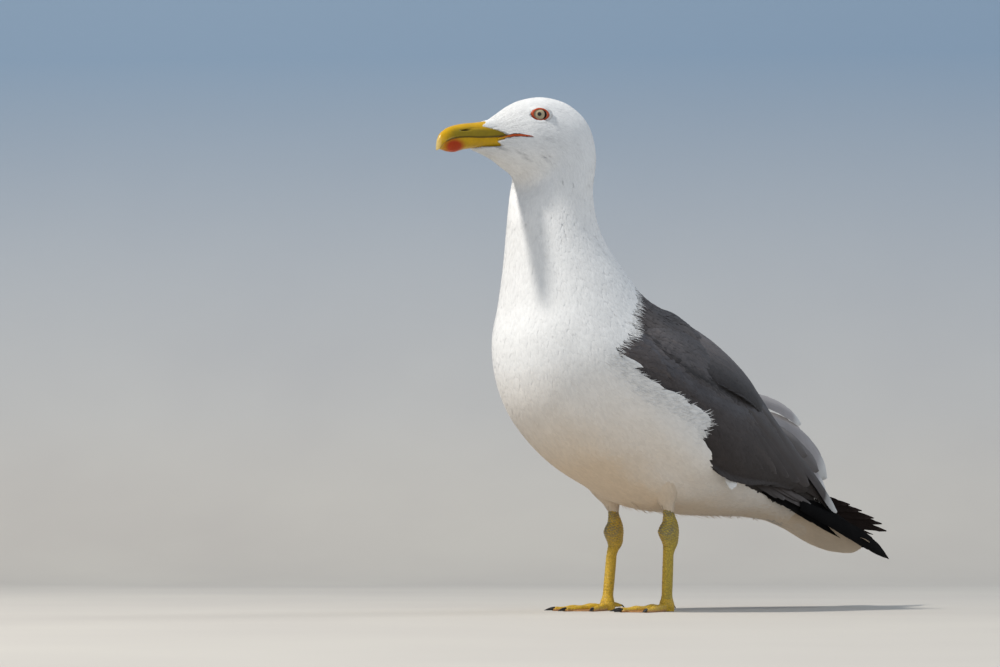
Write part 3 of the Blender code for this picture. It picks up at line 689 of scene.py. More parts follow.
eyePlace = {"side": 15.4, "ahead": 128.8, "up": 396.3, "radius": 7.1, "axis": (0.90, 0.43, 0.0), "gaze": 0.16}
lidShape = {"inner": (5.5, 4.15), "outer": (8.0, 5.3), "innerRise": 6.0, "outerRise": (5.0, 5.35),
            "thick": 0.5, "feathered": 1.45, "red": (0.60, 0.075, 0.006)}


def eyeAxes(hand):  # centre, forward, up and outward, in the frame
    centre = inFrame((eyePlace["side"] * hand, eyePlace["ahead"], eyePlace["up"]))
    side, ahead, up = eyePlace["axis"]
    outward = array([side * hand, -ahead, up])
    outward /= np.linalg.norm(outward)
    upward = array([0, 0, 1.0]) - outward * outward[2]
    upward /= np.linalg.norm(upward)
    forward = np.cross(upward, outward) * hand
    return centre, forward if forward[1] < 0 else -forward, upward, outward


def eyeOval(places, hand):  # across and over the eye by the lids' half sizes, and whether it's outwards
    centre, forward, upward, outward = eyeAxes(hand)
    offset = (places - centre) * 1000
    wide, tall = lidShape["outer"]
    return offset @ forward / wide, offset @ upward / tall, offset @ outward > 0


def eyeDistance(places, hand):  # how far out of the lids' oval a place lies: under 1 is within it
    across, over, outside = eyeOval(places, hand)
    return np.where(outside, np.hypot(across, over), 9.0)


# The grey arc is painted shade round the lids' rim.
def lidShadeArc(places, hand):  # how strongly a place lies on the grey arc behind and below the eye
    across, over, outside = eyeOval(places, hand)
    turn = np.degrees(np.arctan2(over, -across))  # nothing behind the eye, more as it goes below it
    return near(np.hypot(across, over), 1.42, 0.16) * clip((60 - abs(turn + 45)) / 20, 0, 1) * outside


def irisGlass(hand):
    made, tree, shader = newMaterial("irisGlass", Roughness=0.3, Specular_IOR_Level=0.2, Coat_Weight=0.35,
                                     Coat_Roughness=0.02, Coat_IOR=1.38)
    centre, forward, _, outward = eyeAxes(hand)
    gaze = outward + forward * eyePlace["gaze"]
    front = centre + gaze / np.linalg.norm(gaze) * eyePlace["radius"] / 1000
    place = addNode(tree, "TexCoord").outputs["Object"]
    offset = addNode(tree, "VectorMath", {0: place, 1: tuple(front)}, operation="SUBTRACT").outputs["Vector"]
    distance = addNode(tree, "VectorMath", {0: offset}, operation="LENGTH").outputs["Value"]
    wobble = noise(tree, place, 1400.0, 3.0)
    ringed = addNode(tree, "Math", {0: distance, 1: 1000 / 8.0}, operation="MULTIPLY").outputs["Value"]
    colour = ramp(tree, ringed, [(0.0, (0.002, 0.002, 0.002)), (0.165, (0.002, 0.002, 0.002)),
                                 (0.195, (0.14, 0.10, 0.05)), (0.25, (0.42, 0.35, 0.22)),
                                 (0.52, (0.50, 0.42, 0.27)), (0.595, (0.24, 0.19, 0.11)),
                                 (0.64, (0.012, 0.009, 0.008))])
    tree.links.new(shaded(tree, colour, wobble, [(0.3, 0.82), (0.7, 1.0)]), shader.inputs["Base Color"])
    return made


def makeEye(side):
    hand = hands[side]
    centre, forward, upward, outward = eyeAxes(hand)
    (innerX, innerY), (outerX, outerY) = lidShape["inner"], lidShape["outer"]
    outerRise = lidShape["outerRise"]

    def onEye(x, y, rise):
        return centre + (forward * x[..., None] + upward * y[..., None] + outward * rise[..., None]) / 1000
    turned = Vector((0, 0, 1)).rotation_difference(Vector(outward)).to_matrix().to_4x4()
    bm = bmesh.new()
    bmesh.ops.create_uvsphere(bm, u_segments=48, v_segments=32, radius=eyePlace["radius"] / 1000,
                              matrix=Matrix.Translation(Vector(centre)) @ turned)
    mesh = bpy.data.meshes.new("eyeball_" + side)
    bm.to_mesh(mesh)
    bm.free()
    mesh.shade_smooth()
    finishPiece(placeInScene("eyeball_" + side, mesh), (irisGlass(hand), "iris"), ("eye_" + side,))

    def lid(u, v):
        c, s = cos(2 * pi * u), sin(2 * pi * u)
        share = 0.5 - 0.5 * cos(2 * pi * v)
        fromX, fromY = innerX * c, innerY * s * (1 - 0.10 * clip(s, 0, 1))
        toX, toY = outerX * np.sign(c) * abs(c) ** 1.08, outerY * np.sign(s) * abs(s) ** 1.1
        toRise = outerRise[0] * c * c + outerRise[1] * s * s
        rise = lidShape["innerRise"] + (toRise - lidShape["innerRise"]) * share
        rise = rise + lidShape["thick"] * sin(2 * pi * v) * (1 + 0.12 * sin(2 * pi * u * 26))
        return onEye(fromX + (toX - fromX) * share, fromY + (toY - fromY) * share, rise)
    dressPiece(gridPiece("eyering_" + side, 96, 12, lid, closed=True, capped=False), lidShape["red"],
               ringFinish)

    def feathered(u, v):  # the lids' feathered rim: u round the eye, v from the ring outwards
        c, s = cos(2 * pi * u), sin(2 * pi * u)
        reach = 0.9 + (lidShape["feathered"] - 0.9) * v
        rise = outerRise[0] * c * c + outerRise[1] * s * s + 0.35 - 3.2 * v ** 1.6
        return onEye(outerX * c * reach, outerY * s * reach, rise)

    def rim(u, v):
        share = np.where(v > 0.5, 2 - 2 * v, 2 * v)
        sunk = 1.2 * (v > 0.5) * sin(pi * share) + 0.2
        return feathered(u, share) - outward * sunk[:, None] / 1000

    # The lids' skin carries the painted grey shade arc behind and below the eye.
    def shade(places):
        return mix(tones["white"], tones["streakAndShadeGrey"], 0.7 * lidShadeArc(places, hand))
    lidSkin = gridPiece("lidSkin_" + side, 72, 20, rim, closed=True, capped=False)
    dressPiece(lidSkin, shade(meshPlaces(lidSkin.data)), whiteFinish)
    draw = np.random.default_rng(17)
    count = 900
    start = stack([(np.arange(count) * 0.618034) % 1.0, 0.02 + 0.8 * draw.random(count)], -1)
    turn = draw.normal(0, 0.01, count) - 0.035 * sin(2 * pi * start[:, 0]) * hand
    end = start + stack([turn, draw.uniform(0.25, 0.4, count)], -1)
    shares = sharesOf(faceTuft)
    lift = draw.uniform(-0.05, 0.12, (count, 1)) / 1000
    half = draw.uniform(0.16, 0.24, count) / 1000
    tint = shade(feathered(*end.T)) * draw.uniform(0.88, 0.98, (count, 1))
    growVanes("lidTufts_" + side, vanePath(feathered, start, end, shares, -hand), half, lift, half * 0.3,
              half * 0.05, faceTuft, tint, chartPatch(start, (0, 1), (0, 1)), whiteFinish)


# Along the closed bill: ahead, top, mouth line, bottom, half width at the mouth line.
billRows = array([(158, 391.5, 376.7, 365.5, 12.4), (166, 390.3, 375.9, 366.9, 10.8),
                  (174, 388.4, 374.9, 366.9, 9.2), (184, 386.3, 373.8, 366.0, 8),
                  (195, 384.4, 373.1, 363.9, 7), (204, 382.2, 372.0, 361, 6.2),
                  (211, 379.6, 370.2, 360.6, 5.2), (216, 376.5, 367.7, 361.3, 4.3)], float)
hookRows = [(219.3, 373.3, 365.0, 3.2), (221.2, 369.8, 362.0, 2.2), (222.1, 366.8, 360.6, 1.2),
            (222.5, 364.6, 361.2, 0.4)]
lowerEnd = [(216, 367.5, 361.3, 4.0), (218.2, 365.6, 361.7, 3.0), (219.4, 364.6, 362.2, 1.7),
            (219.9, 364.0, 362.7, 0.5)]
upperRows = array([(a, top, mouth + 0.12, half) for a, top, mouth, low, half in billRows] + hookRows)
lowerRows = array([(a, mouth - 0.12, low, half * 0.94) for a, top, mouth, low, half in billRows[:-1]]
                  + lowerEnd)
nostril = {"ahead": 197.6, "share": 0.50, "long": 6.0, "tall": 0.66, "depth": 1.4}
billTones = toned({"yellow": (0.66, 0.37, 0.003), "olive": (0.24, 0.185, 0.006), "tip": (0.66, 0.52, 0.22),
                   "red": (0.48, 0.045, 0.002), "line": (0.035, 0.02, 0.010), "gape": (0.50, 0.07, 0.012)})

# The feathers' edge on the bill: how far ahead they reach at each height; and the gape behind it, on the
# body chart.
billEdge = {"up": [360, 364, 366, 367.3, 368.5, 370, 371.5, 374, 376, 378, 380, 381.5, 383, 385, 387.5, 391],
            "ahead": [190, 189, 178, 166.5, 164, 166.5, 168.5, 165, 161.5, 161, 165, 171, 181, 178, 175, 173]}
gape = {"u": [1.0, 1.21, 1.46, 1.71, 2.0, 2.3, 2.6, 2.92],
        "v": [0.302, 0.294, 0.281, 0.272, 0.2685, 0.266, 0.264, 0.261],
        "half": [1.1, 1.2, 1.25, 1.35, 1.2, 0.9, 0.6, 0.12],
        "clear": [0.018, 0.018, 0.016, 0.014, 0.011, 0.008, 0.006, 0.002]}


def billChart(rows, ridge):  # v goes over the ridge and back along the flat inner side
    def placeAt(u, v):
        ahead, high, low, half = readRows(rows, u * (len(rows) - 1)).T
        turn = pi * clip(v / 0.8, 0, 1)
        crown, floor = (high, low) if ridge > 0 else (low, high)
        boxy = fade(ahead, 178, -16)
        reach = np.sign(cos(turn)) * abs(cos(turn)) ** (0.92 - 0.30 * boxy)
        side = np.where(v > 0.8, -half + 2 * half * fade(v, 0.8, 0.2), reach * half)
        up = floor + (crown - floor) * np.where(v > 0.8, 0, sin(turn) ** (0.8 - 0.15 * boxy))
        if ridge > 0:
            share = (up - low) / np.maximum(high - low, 0.1)
            pit = near(ahead, nostril["ahead"], nostril["long"]) ** 0.5 * clip(
                1.6 * near(share, nostril["share"], nostril["tall"] / 9), 0, 1)
            groove = near(share, 0.60, 0.08) * near(ahead, 190, 12)
            for deep in (pit * nostril["depth"], groove * 0.35):
                side = side - np.sign(side) * deep * (v < 0.8)
        return inFrame(stack([side, ahead, up], -1))
    return placeAt


def makeBill():
    for name, rows, ridge, node in (("billUpper", upperRows, 1, "bill_upper"),
                                    ("billLower", lowerRows, -1, "bill_lower")):
        piece = gridPiece(name, 140, 72, billChart(rows, ridge), closed=True)
        side, ahead, up = partPlaces(meshPlaces(piece.data)).T
        mouth = interp(ahead, billRows[:, 0], billRows[:, 2])
        top = interp(ahead, upperRows[:, 0], upperRows[:, 1])
        colour = np.tile(billTones["yellow"], (len(ahead), 1))
        if ridge > 0:
            shade = clip(near(up, mouth + 2.8, 5.6) * 1.8, 0, 1) * fade(ahead, 216, -8)
            height = (up - mouth) / np.maximum(top - mouth, 1)
            hole = near(ahead, nostril["ahead"], nostril["long"]) * near(height, nostril["share"], 0.085)
            hidden = (interp(up, *billEdge.values()) - 0.6 > ahead) & (up > 380.2)
            layers = ((billTones["olive"], 0.80 * shade), (billTones["tip"], fade(ahead, 219.5, 3.5)),
                      (billTones["tip"], 0.6 * near(up, mouth + 0.9, 0.7) * near(ahead, 213, 6)),
                      (billTones["line"], clip(hole * 3.5 - 0.6, 0, 1) * (abs(side) > 2)),
                      (billTones["line"], 0.85 * near(up, mouth, 0.55) * (ahead < 216)),
                      (tones["white"] * 0.8, hidden))
        else:
            spot = clip(1.9 - np.hypot((ahead - 207.8) / 10.2, (up - 364.6) / 6.4) * 1.6, 0, 1)
            layers = ((billTones["olive"], 0.35 * near(up, mouth - 7, 4)), (billTones["red"], spot),
                      (billTones["tip"], fade(ahead, 217.5, 3) * 0.5),
                      (billTones["line"], 0.85 * near(up, mouth, 0.55) * (ahead < 216)))
        for tone, share in layers:
            colour = mix(colour, tone, share)
        dressPiece(piece, colour, billFinish, (node,))

    ridgeChart = billChart(upperRows, 1)
    for side, hand in hands.items():  # the feathers that reach forward over the bill's root
        def wedge(u, v):  # u counts the bill's rows backwards, v from the mouth to the ridge
            u, v = np.broadcast_arrays(np.asarray(u, float), np.asarray(v, float))
            turn = clip(v, 0.001, 0.999) * 0.4
            place = ridgeChart((-u).ravel() / (len(upperRows) - 1),
                               (turn if hand > 0 else 0.8 - turn).ravel())
            return place.reshape(u.shape + (3,))
        draw = np.random.default_rng(55)
        count = 900
        row = interp(184.8 - 17.5 * draw.random(count) ** 0.8, upperRows[:, 0], np.arange(len(upperRows)))
        start = stack([-row, 0.30 + 0.68 * draw.random(count)], -1)
        end = heading(wedge, start, draw.normal(0.25, 0.2, count), draw.uniform(1.6, 2.4, count) / 1000)
        _, ahead, up = partPlaces(wedge(*start.T)).T
        keep = (ahead < interp(up, *billEdge.values())) & (up > 381.0) & (end[:, 1] < 1)
        start, end = start[keep], end[keep]
        look = {"shape": faceTuft, "half": draw.uniform(0.28, 0.4, len(start)) / 1000, "deep": 0.0002,
                "curve": 2.0, "level": 0.00012, "thick": 0.3, "droop": 0.05, "raise": 0.0005}
        tint = tones["white"] * draw.uniform(0.86, 1.0, (len(start), 1))
        layTufts("coatWedge_" + side, wedge, start, end, look, tint, ((-8, 0), (0, 1)), whiteFinish, -hand)


def makeGape(side):  # the red corner of the mouth, a soft lip that runs back under the eye
    hand = hands[side]

    def middleAt(u):
        middle = interp(u, gape["u"], gape["v"])
        return middle if hand > 0 else 1 - middle

    def lip(u, v):
        along = gape["u"][0] + (gape["u"][-1] - gape["u"][0]) * u
        here, _, alongV, normal = localFrame(bodyChart, along, middleAt(along))
        across = alongV / np.linalg.norm(alongV, axis=-1, keepdims=True) * hand
        turn, half = 2 * pi * v, interp(along, gape["u"], gape["half"])
        height = 0.15 + 0.55 * sin(turn) - 0.35 * near(cos(turn), -0.35, 0.3) * sin(turn)
        rise = height * np.minimum(1, half)
        return here + (across * (half * cos(turn))[:, None] + normal * rise[:, None]) / 1000
    piece = gridPiece("gape_" + side, 60, 24, lip, closed=True)
    places = meshPlaces(piece.data)
    u = linspace(gape["u"][0], gape["u"][-1], 60)
    line = bodyChart(u, middleAt(u))
    order = array([np.argmin(((line - place) ** 2).sum(-1)) for place in places])
    above = (places[:, 2] - line[order, 2]) * 1000
    colour = mix(billTones["gape"], billTones["yellow"] * 0.8, fade(u[order], 1.6, -0.5) * (above < 0.5))
    dressPiece(piece, mix(colour, billTones["line"], near(above, 0.95, 0.45) * 1.8), billFinish)


toes = {"inner": (40.0, 28.0), "middle": (50.0, 2.0), "outer": (47.0, -24.0)}  # length, heading in degrees
knee = {"up": [46, 50, 54, 57, 61, 65, 69, 73, 78, 84],
        "front": [4.9, 5.0, 5.4, 6.8, 9.6, 11.6, 9.4, 5.6, 4.6, 4.4],
        "back": [4.9, 6.4, 8.2, 9.2, 9.4, 9.8, 9.6, 8.6, 6.4, 4.4]}
legTones = toned({"yellow": (0.70, 0.43, 0.022), "shadedLime": (0.42, 0.36, 0.045), "grey": (0.20, 0.185, 0.125),
                  "pink": (0.60, 0.26, 0.13), "claw": (0.018, 0.015, 0.014)})


def shinRows(side):
    x = ankleSide * hands[side]
    ankle, root = legAhead[side]
    lean = (root - ankle) / (ankleUp - 8)
    rows = [(x, ankle + 2, 92, 4.2, 3.8), (x, ankle + 1, 84, 4.4, 4.0), (x, ankle + 0.5, 78, 4.8, 4.3),
            (x, ankle, 72, 6.4, 5.4), (x, ankle, 66, 9.2, 6.4), (x, ankle, 61, 8.6, 6.2),
            (x, ankle, 54, 5.8, 4.8)]
    rows += [(x, ankle + lean * (ankleUp - up), up, 4.9, 3.9) for up in (48, 36, 22, 13)]
    rows += [(x, root, 8, 6.0, 5.2), (x, root, 4, 6.8, 6.2), (x, root, 0.1, 6.2, 5.6)]
    return array(rows, float)


def makeLeg(side):
    hand, root = hands[side], legAhead[side][1]
    x, rows = ankleSide * hand, shinRows(side)
    start = array([x, root])

    def shank(u, v):
        turn = 2 * pi * v
        across, ahead, up, front, wide = readRows(rows, u * (len(rows) - 1)).T
        lump = interp(up, knee["up"], knee["front"]) * (1 if hand > 0 else 0.88)
        lump = np.where(cos(turn) > 0, lump, interp(up, knee["up"], knee["back"]))
        front = np.where((up > 46) & (up < 84), lump, front)
        plates = 0.34 * clip(cos(turn), 0, 1) * (((up / 3.1) % 1.0) ** 0.5 - 0.5) * (up < 56)
        step = plates + 0.132 * (up > 50) * sin(up * 3.0 + 2 * sin(turn * 2))
        return inFrame(stack([across + (wide + step) * sin(turn), ahead + (front + step) * cos(turn),
                              np.maximum(up, 0.05)], -1))

    def flatRod(name, nu, nv, middleAt, across, halfAt, heightAt):  # lies along the floor
        def placeAt(u, v):
            turn = 2 * pi * v
            place = middleAt(u) + across * (halfAt(u) * cos(turn))[:, None]
            return inFrame(np.column_stack([place, np.maximum(0.05, heightAt(u, sin(turn)))]))
        return gridPiece(name, nu, nv, placeAt, closed=True)

    def backRod(name, nu, nv, centreAt, halfAt):  # points backwards
        def placeAt(u, v):
            turn = 2 * pi * v
            return inFrame(stack(centreAt(u), -1) + stack([cos(turn), 0 * u, sin(turn)], -1)
                           * halfAt(u)[:, None])
        return gridPiece(name, nu, nv, placeAt, closed=True)

    parts, claws, ends = [gridPiece("shank", 260, 40, shank, closed=True)], [], {}
    for name, (length, angle) in toes.items():
        turned = math.radians(angle) * hand
        forward = array([-math.sin(turned), math.cos(turned)])
        across = array([forward[1], -forward[0]])
        ends[name] = forward * length

        def swell(t):
            return 1 + 0.1 * cos(6 * pi * t)

        def toeHeight(u, over):
            t = u * 1.02
            height = (6.6 - 3.6 * t) * swell(t) * np.where(u > 0.97, 0.8, 1)
            plates = 0.22 * ((t * length / 2.4) % 1.0) ** 0.5 * clip(over, 0, 1)
            return height * 0.4 + (height * 0.6 + plates) * over

        def clawShare(u):
            return interp(-0.25 + 1.27 * u, [-0.25, 0, 0.35, 0.7, 1.02], [0.95, 1, 0.85, 0.5, 0.05])
        parts.append(flatRod("toe", 110, 24, lambda u: start + forward * (length * u * 1.02)[:, None], across,
                             lambda u: (3.3 - 1.3 * u * 1.02) * swell(u * 1.02)
                             * np.where(u > 0.97, 0.75, 1), toeHeight))
        claws.append(flatRod("claw", 28, 20,
                             lambda u: start + ends[name] + forward * (8.5 * (-0.25 + 1.27 * u))[:, None],
                             across, lambda u: 1.35 * clawShare(u), lambda u, over: 1.5 * clawShare(u) * over
                             + 3.2 * (0.62 - 0.46 * clip(-0.25 + 1.27 * u, 0, 2) ** 1.5)))
    parts.append(backRod("hindToe", 24, 20,
                         lambda u: (x - hand * (1 + 3 * u), root - 2 - 10.5 * u, 5.6 - 1.6 * u),
                         lambda u: 2.3 - 1.5 * u * u))
    claws.append(backRod("hindClaw", 14, 12, lambda u: (x - hand * (3.9 + 0.8 * u), root - 12.0 - 3.6 * u,
                                                        4.2 - 2.6 * u * u),
                         lambda u: 0.9 * (1 - u) ** 0.7 + 0.05))
    for first, second in (("inner", "middle"), ("middle", "outer")):
        def web(u, v):
            share = clip(np.where(v < 0.5, v * 2, 2 - v * 2), 0, 1)
            reach = (0.02 + 0.93 * u) * (1 - 0.16 * 4 * share * (1 - share) * u ** 2)
            one, other = (start + ends[name] * reach[:, None] for name in (first, second))
            up = np.where(v < 0.5, 1.25 + 0.10 * sin(u * 60) * sin(share * pi), 0.08)
            up = np.where((share < 0.01) | (share > 0.99), 0.6, up)
            return inFrame(np.column_stack([one + (other - one) * share[:, None], up]))
        parts.append(gridPiece("web", 60, 40, web, closed=True))
    leg = joinPieces("leg_" + side, parts)
    across, ahead, up = partPlaces(meshPlaces(leg.data)).T
    front = clip(0.7 + (ahead - legAhead[side][0]) / 14, 0.1, 1)
    blotch = sin(up * 1.5 + across * 1.9) * sin(ahead * 1.3 - up * 0.7) + 0.5 * sin(up * 3.1 + ahead)
    # The outer side of each shank turns a darker lime: painted shade.
    colour = legTones["yellow"]
    for tone, share in (
            (legTones["shadedLime"], 0.5 * clip((hand * (across - x) + 1) / 4, 0, 1) * (up > 10)),
            (legTones["grey"], 0.95 * near(up, 67, 18) * clip(0.75 + 0.7 * blotch, 0, 1) * front),
            (legTones["grey"] * 0.8, 0.75 * fade(up, 74, 6) * clip(0.7 + 0.6 * blotch, 0, 1)),
            (legTones["pink"], 0.75 * (up < 1.7) * (ahead > root + 6))):
        colour = mix(colour, tone, share)
    leg.data.shade_smooth()
    leg.data.set_sharp_from_angle(angle=math.radians(45))
    dressPiece(leg, colour, legFinish, ("shank_" + side, "foot_" + side))
    made = joinPieces("claws_" + side, claws)
    made.data.shade_smooth()
    dressPiece(made, legTones["claw"], clawFinish, tuple(f"claw_{name}_{side}" for name in toes))


whiteCoat = {  # u span, v span, tufts
    "coatFace": ((0.0, 3.4), (0.0, 1.0), 15000), "coatCrown": ((3.4, 6.6), (0.0, 1.0), 15000),
    "coatNeck": ((6.6, 10.6), (0.0, 1.0), 10000), "coatBreast": ((10.6, 14.2), (0.0, 1.0), 16000),
    "coatFlankLeft": ((14.2, 19.5), (0.2, 0.5), 10400), "coatFlankRight": ((14.2, 19.5), (0.5, 0.8), 10400),
    "coatRump": ((19.5, 23.4), (0.0, 1.0), 7000)}
tuftLength = {"u": [0, 1, 2, 4, 6, 8, 10, 12, 16, 20, 23],
              "length": [2.2, 3.0, 3.8, 5.8, 8.5, 11, 13, 15, 17, 17, 18]}
tuftHalf = {"u": [0, 1, 2, 4, 6, 8, 12, 16, 23], "half": [0.34, 0.42, 0.52, 0.70, 1.05, 1.42, 1.85, 1.9, 2.0]}
strandLook = {"shape": strandTuft, "deep": 0.0008, "curve": 2.0, "level": 0.0002, "thick": 0.3, "droop": 0.1}


def offHard(u, v, places):  # false where a tuft would cover an eye, the bill or the gape
    side, ahead, up = partPlaces(places).T
    free = ~((abs(side) > 2.0) & (ahead > interp(up, *billEdge.values())))
    for hand in (1, -1):
        free &= ~((places[:, 0] * hand > 0) & (u < 6) & (eyeDistance(places, hand) < 1.05))
    onGape = abs(fromBack(v) - interp(u, gape["u"], gape["v"])) < interp(u, gape["u"], gape["clear"])
    return free & ~(onGape & (u > gape["u"][0]) & (u < gape["u"][-1]))


def makeWhiteCoat():
    for index, (name, (uSpan, vSpan, count)) in enumerate(whiteCoat.items()):
        draw = np.random.default_rng(40 + index)
        start = scatter(coatChart, uSpan, vSpan, count, index)
        u, v = start.T
        length = interp(u, *tuftLength.values()) / 1000 * draw.uniform(0.8, 1.2, count)
        fromEdge = interp(u, *slateEdge.values()) - fromBack(v)
        upwards = clip(1 + fromEdge / 0.08, 0, 1) * fade(u, 12, 1.5) * fade(u, 16.4, -1.0)
        angle = draw.normal(0, 0.10, count) + 0.20 * ripple(u, v, 60 + index, 5)
        end = heading(coatChart, start, angle - 0.65 * upwards * np.where(v < 0.5, 1, -1), length)
        middle = start + np.where(u < 16.9, 0.85, 0.6)[:, None] * (end - start)
        keep = slateShare(*middle.T) < 0.5 + np.where(u < 16.8, draw.exponential(0.15, count), 0)
        keep &= (u < 16.8) | (slateShare(*end.T) < 1.2) | (fromBack(v) < 0.2)
        keep &= offHard(u, v, coatChart(u, v)) & offHard(u, v, coatChart(*end.T))
        start, end = start[keep], end[keep]
        u, v = start.T
        count = len(u)
        shape = faceTuft if uSpan[1] < 8 else bodyTuft
        shares = sharesOf(shape)
        deep = np.minimum(interp(u, *skinDepth.values()) * 0.7, 3.2) / 1000
        level = draw.uniform(-1, 1, count) * interp(u, [0, 4, 12], [0.06, 0.07, 0.10]) / 1000
        lift = -deep[:, None] * (1 - shares) ** 2.6 + level[:, None]
        half = interp(u, *tuftHalf.values()) / 1000 * draw.uniform(0.8, 1.2, count)
        tint = markings(u, v, 0.0) * draw.uniform(0.92, 1.0, (count, 1))
        # Near the eyes the face tufts also carry the painted grey shade arc.
        if uSpan[0] < 6:
            places = coatChart(*end.T)
            for hand in (1, -1):
                tint = mix(tint, tones["streakAndShadeGrey"] * 0.8, 0.5 * lidShadeArc(places, hand))
        growVanes(name, vanePath(coatChart, start, end, shares), half, lift, half * 0.12, half * 0.04,
                  shape, tint, chartPatch(start, uSpan, vSpan), whiteFinish)
        print(name, count, "tufts")


def makeFringe(side):  # fine white strands over the wing's front edge
    hand = hands[side]
    draw = np.random.default_rng(170 + hand)
    count = 1000
    u = draw.uniform(11.6, 16.7, count)
    back = interp(u, *slateEdge.values()) + draw.uniform(0.002, 0.032, count)
    start = stack([u, back if hand > 0 else 1 - back], -1)
    length = draw.uniform(7, 14, count) / 1000
    end = heading(coatChart, start, -hand * draw.uniform(0.25, 0.95, count), length)
    look = strandLook | {"half": draw.uniform(0.15, 0.32, count) / 1000, "seed": 171,
                         "raise": draw.uniform(0.0, 0.0010, count)}
    tint = mix(tones["white"], tones["slateWarm"], draw.uniform(0, 0.25, count))
    layTufts("coatFringe_" + side, coatChart, start, end, look, tint, ((11.8, 16.6), (0, 1)), whiteFinish)


def makeWisps():  # loose feather ends that hang below the belly
    draw = np.random.default_rng(23)
    count = 150
    start = stack([draw.uniform(17.6, 21.6, count), 0.5 + draw.normal(0, 0.022, count)], -1)
    end = heading(coatChart, start, draw.normal(0, 0.3, count), draw.uniform(7, 15, count) / 1000)
    look = strandLook | {"half": draw.uniform(0.25, 0.6, count) / 1000, "seed": 24,
                         "raise": draw.uniform(0.0006, 0.0034, count)}
    tint = markings(*start.T, 0.0) * draw.uniform(0.8, 1, (count, 1))
    layTufts("coatWisps", coatChart, start, end, look, tint, ((17.6, 21.6), (0, 1)), whiteFinish)

    # The white end of a flank feather that shows under the left wing.
    shape, half = frayed(longVane, 0.0058, 31, 4, 0.45)
    path = straightPath([(57.0, -44, 111)], [(58.5, -53, 102)], (0.9, 0.2, 0.2), sharesOf(shape))
    growVanes("coatTuft", path, half, 0.0, 0.0004, 0.0008, shape, tones["white"][None] * 0.9,
              spread(1) + 0.3, whiteFinish)


def makeThighCoat(side):
    draw = np.random.default_rng(7 + hands[side])
    chart = tubeChart(thighRows(side))
    spans, count = ((0.6, 4.9), (0.0, 1.0)), 2000
    start = scatter(chart, *spans, count, 3)
    u = start[:, 0]
    wisp = (draw.random(count) < 0.16) & (u > 3.6)
    length = interp(u, [0, 3, 5], [12, 9, 5]) * draw.uniform(0.8, 1.2, count) * (1 + 1.3 * wisp)
    end = heading(chart, start, draw.normal(0, 0.14, count), length / 1000)
    half = interp(u, [0, 3, 5], [1.5, 1.1, 0.45]) / 1000 * draw.uniform(0.8, 1.2, count) * (1 - 0.4 * wisp)
    # Mostly the tan tone: painted warm bounce light in the shade under the body.
    tint = mix(tones["white"], tones["bounceShadeTan"], 0.8) * draw.uniform(0.93, 1, (count, 1))
    look = {"shape": bodyTuft, "half": half, "deep": 0.0016, "curve": 2.2, "level": 0.00022, "thick": 0.16,
            "droop": 0.05}
    layTufts("coatThigh_" + side, chart, start, end, look, tint, spans, whiteFinish, -1)


def slateTones(u, v, seed, warm):
    shade = mix(tones["slate"], tones["slateWarm"], clip(warm + 0.25 * ripple(u, v, seed, 5), 0, 1))
    return mix(shade, tones["slateDeep"], clip(0.25 * ripple(u, v, seed + 1, 7), 0, 1))


def slateTufts(name, chart, spans, count, seed, lengths, tintAt, hand=1, turn=0.0, keepAt=None, limit=None,
               raiseAt=None, nodes=()):
    draw = np.random.default_rng(seed)
    start = scatter(chart, *spans, count, seed % 8)
    u, v = start.T
    length = interp(u, *lengths) / 1000 * draw.uniform(0.8, 1.2, count)
    angle = turn + draw.normal(0, 0.07, count) + 0.08 * ripple(u, v, seed + 3, 4)
    end = heading(chart, start, angle, length, hand)
    if limit:  # how far along and how low the tips may reach
        end[:, 0] = np.minimum(end[:, 0], limit[0])
        end[:, 1] = np.minimum(end[:, 1], interp(end[:, 0], *limit[1:]))
    if keepAt:
        keep = keepAt(*start.T) & keepAt(*end.T)
        start, end, length = start[keep], end[keep], length[keep]
    u, v = start.T
    count = len(start)
    tint = tintAt(u, v) * draw.uniform(0.93, 1.05, (count, 1))
    look = {"shape": slateTuft, "half": length * 0.125 * draw.uniform(0.85, 1.15, count), "deep": 0.0020,
            "curve": 2.4, "level": 0.00012, "thick": 0.14, "droop": 0.06, "seed": seed,
            "raise": raiseAt(u, v) if raiseAt else 0.0}
    layTufts(name, chart, start, end, look, tint, spans, slateFinish, hand, nodes)
    print(name, count, "tufts")


def edged(tint, shares, tip, start, strength=1.0):  # a vane's colour along its length, paler at the tip
    share = np.where(shares >= start, 0.4 + 0.6 * fade(shares, start, 1 - start), 0) * strength
    return tint[:, None] * (1 - share[:, None]) + tip * share[:, None]


def makeMantle():
    slateTufts("coatMantle", bodyChart, ((11.2, 18.9), (-0.27, 0.27)), 4700, 90, ([11, 13, 18], [10, 14, 17]),
               lambda u, v: slateTones(u, v, 11, 0.35), keepAt=lambda u, v: slateShare(u, v) > 0.4)
    # painted shade: dark tufts between the wing's edge and the flank, where the wing shades the body
    for side, middle in (("left", 0.275), ("right", 0.725)):
        slateTufts("coatUnderWingShade_" + side, bodyChart, ((17.6, 22.6), (middle - 0.075, middle + 0.075)), 1100,
                   92, ([17, 23], [13, 17]), lambda u, v: np.tile(tones["underWingShade"], (len(u), 1)),
                   keepAt=lambda u, v: slateShare(u, v) > 0.5)


# Where the scapulars' lower edge lies on the wing's chart.
grooveLine = {"u": [1.6, 2.05, 2.7, 3.53, 4.15, 5.4, 6.95], "v": [0.06, 0.135, 0.36, 0.45, 0.44, 0.40, 0.14]}
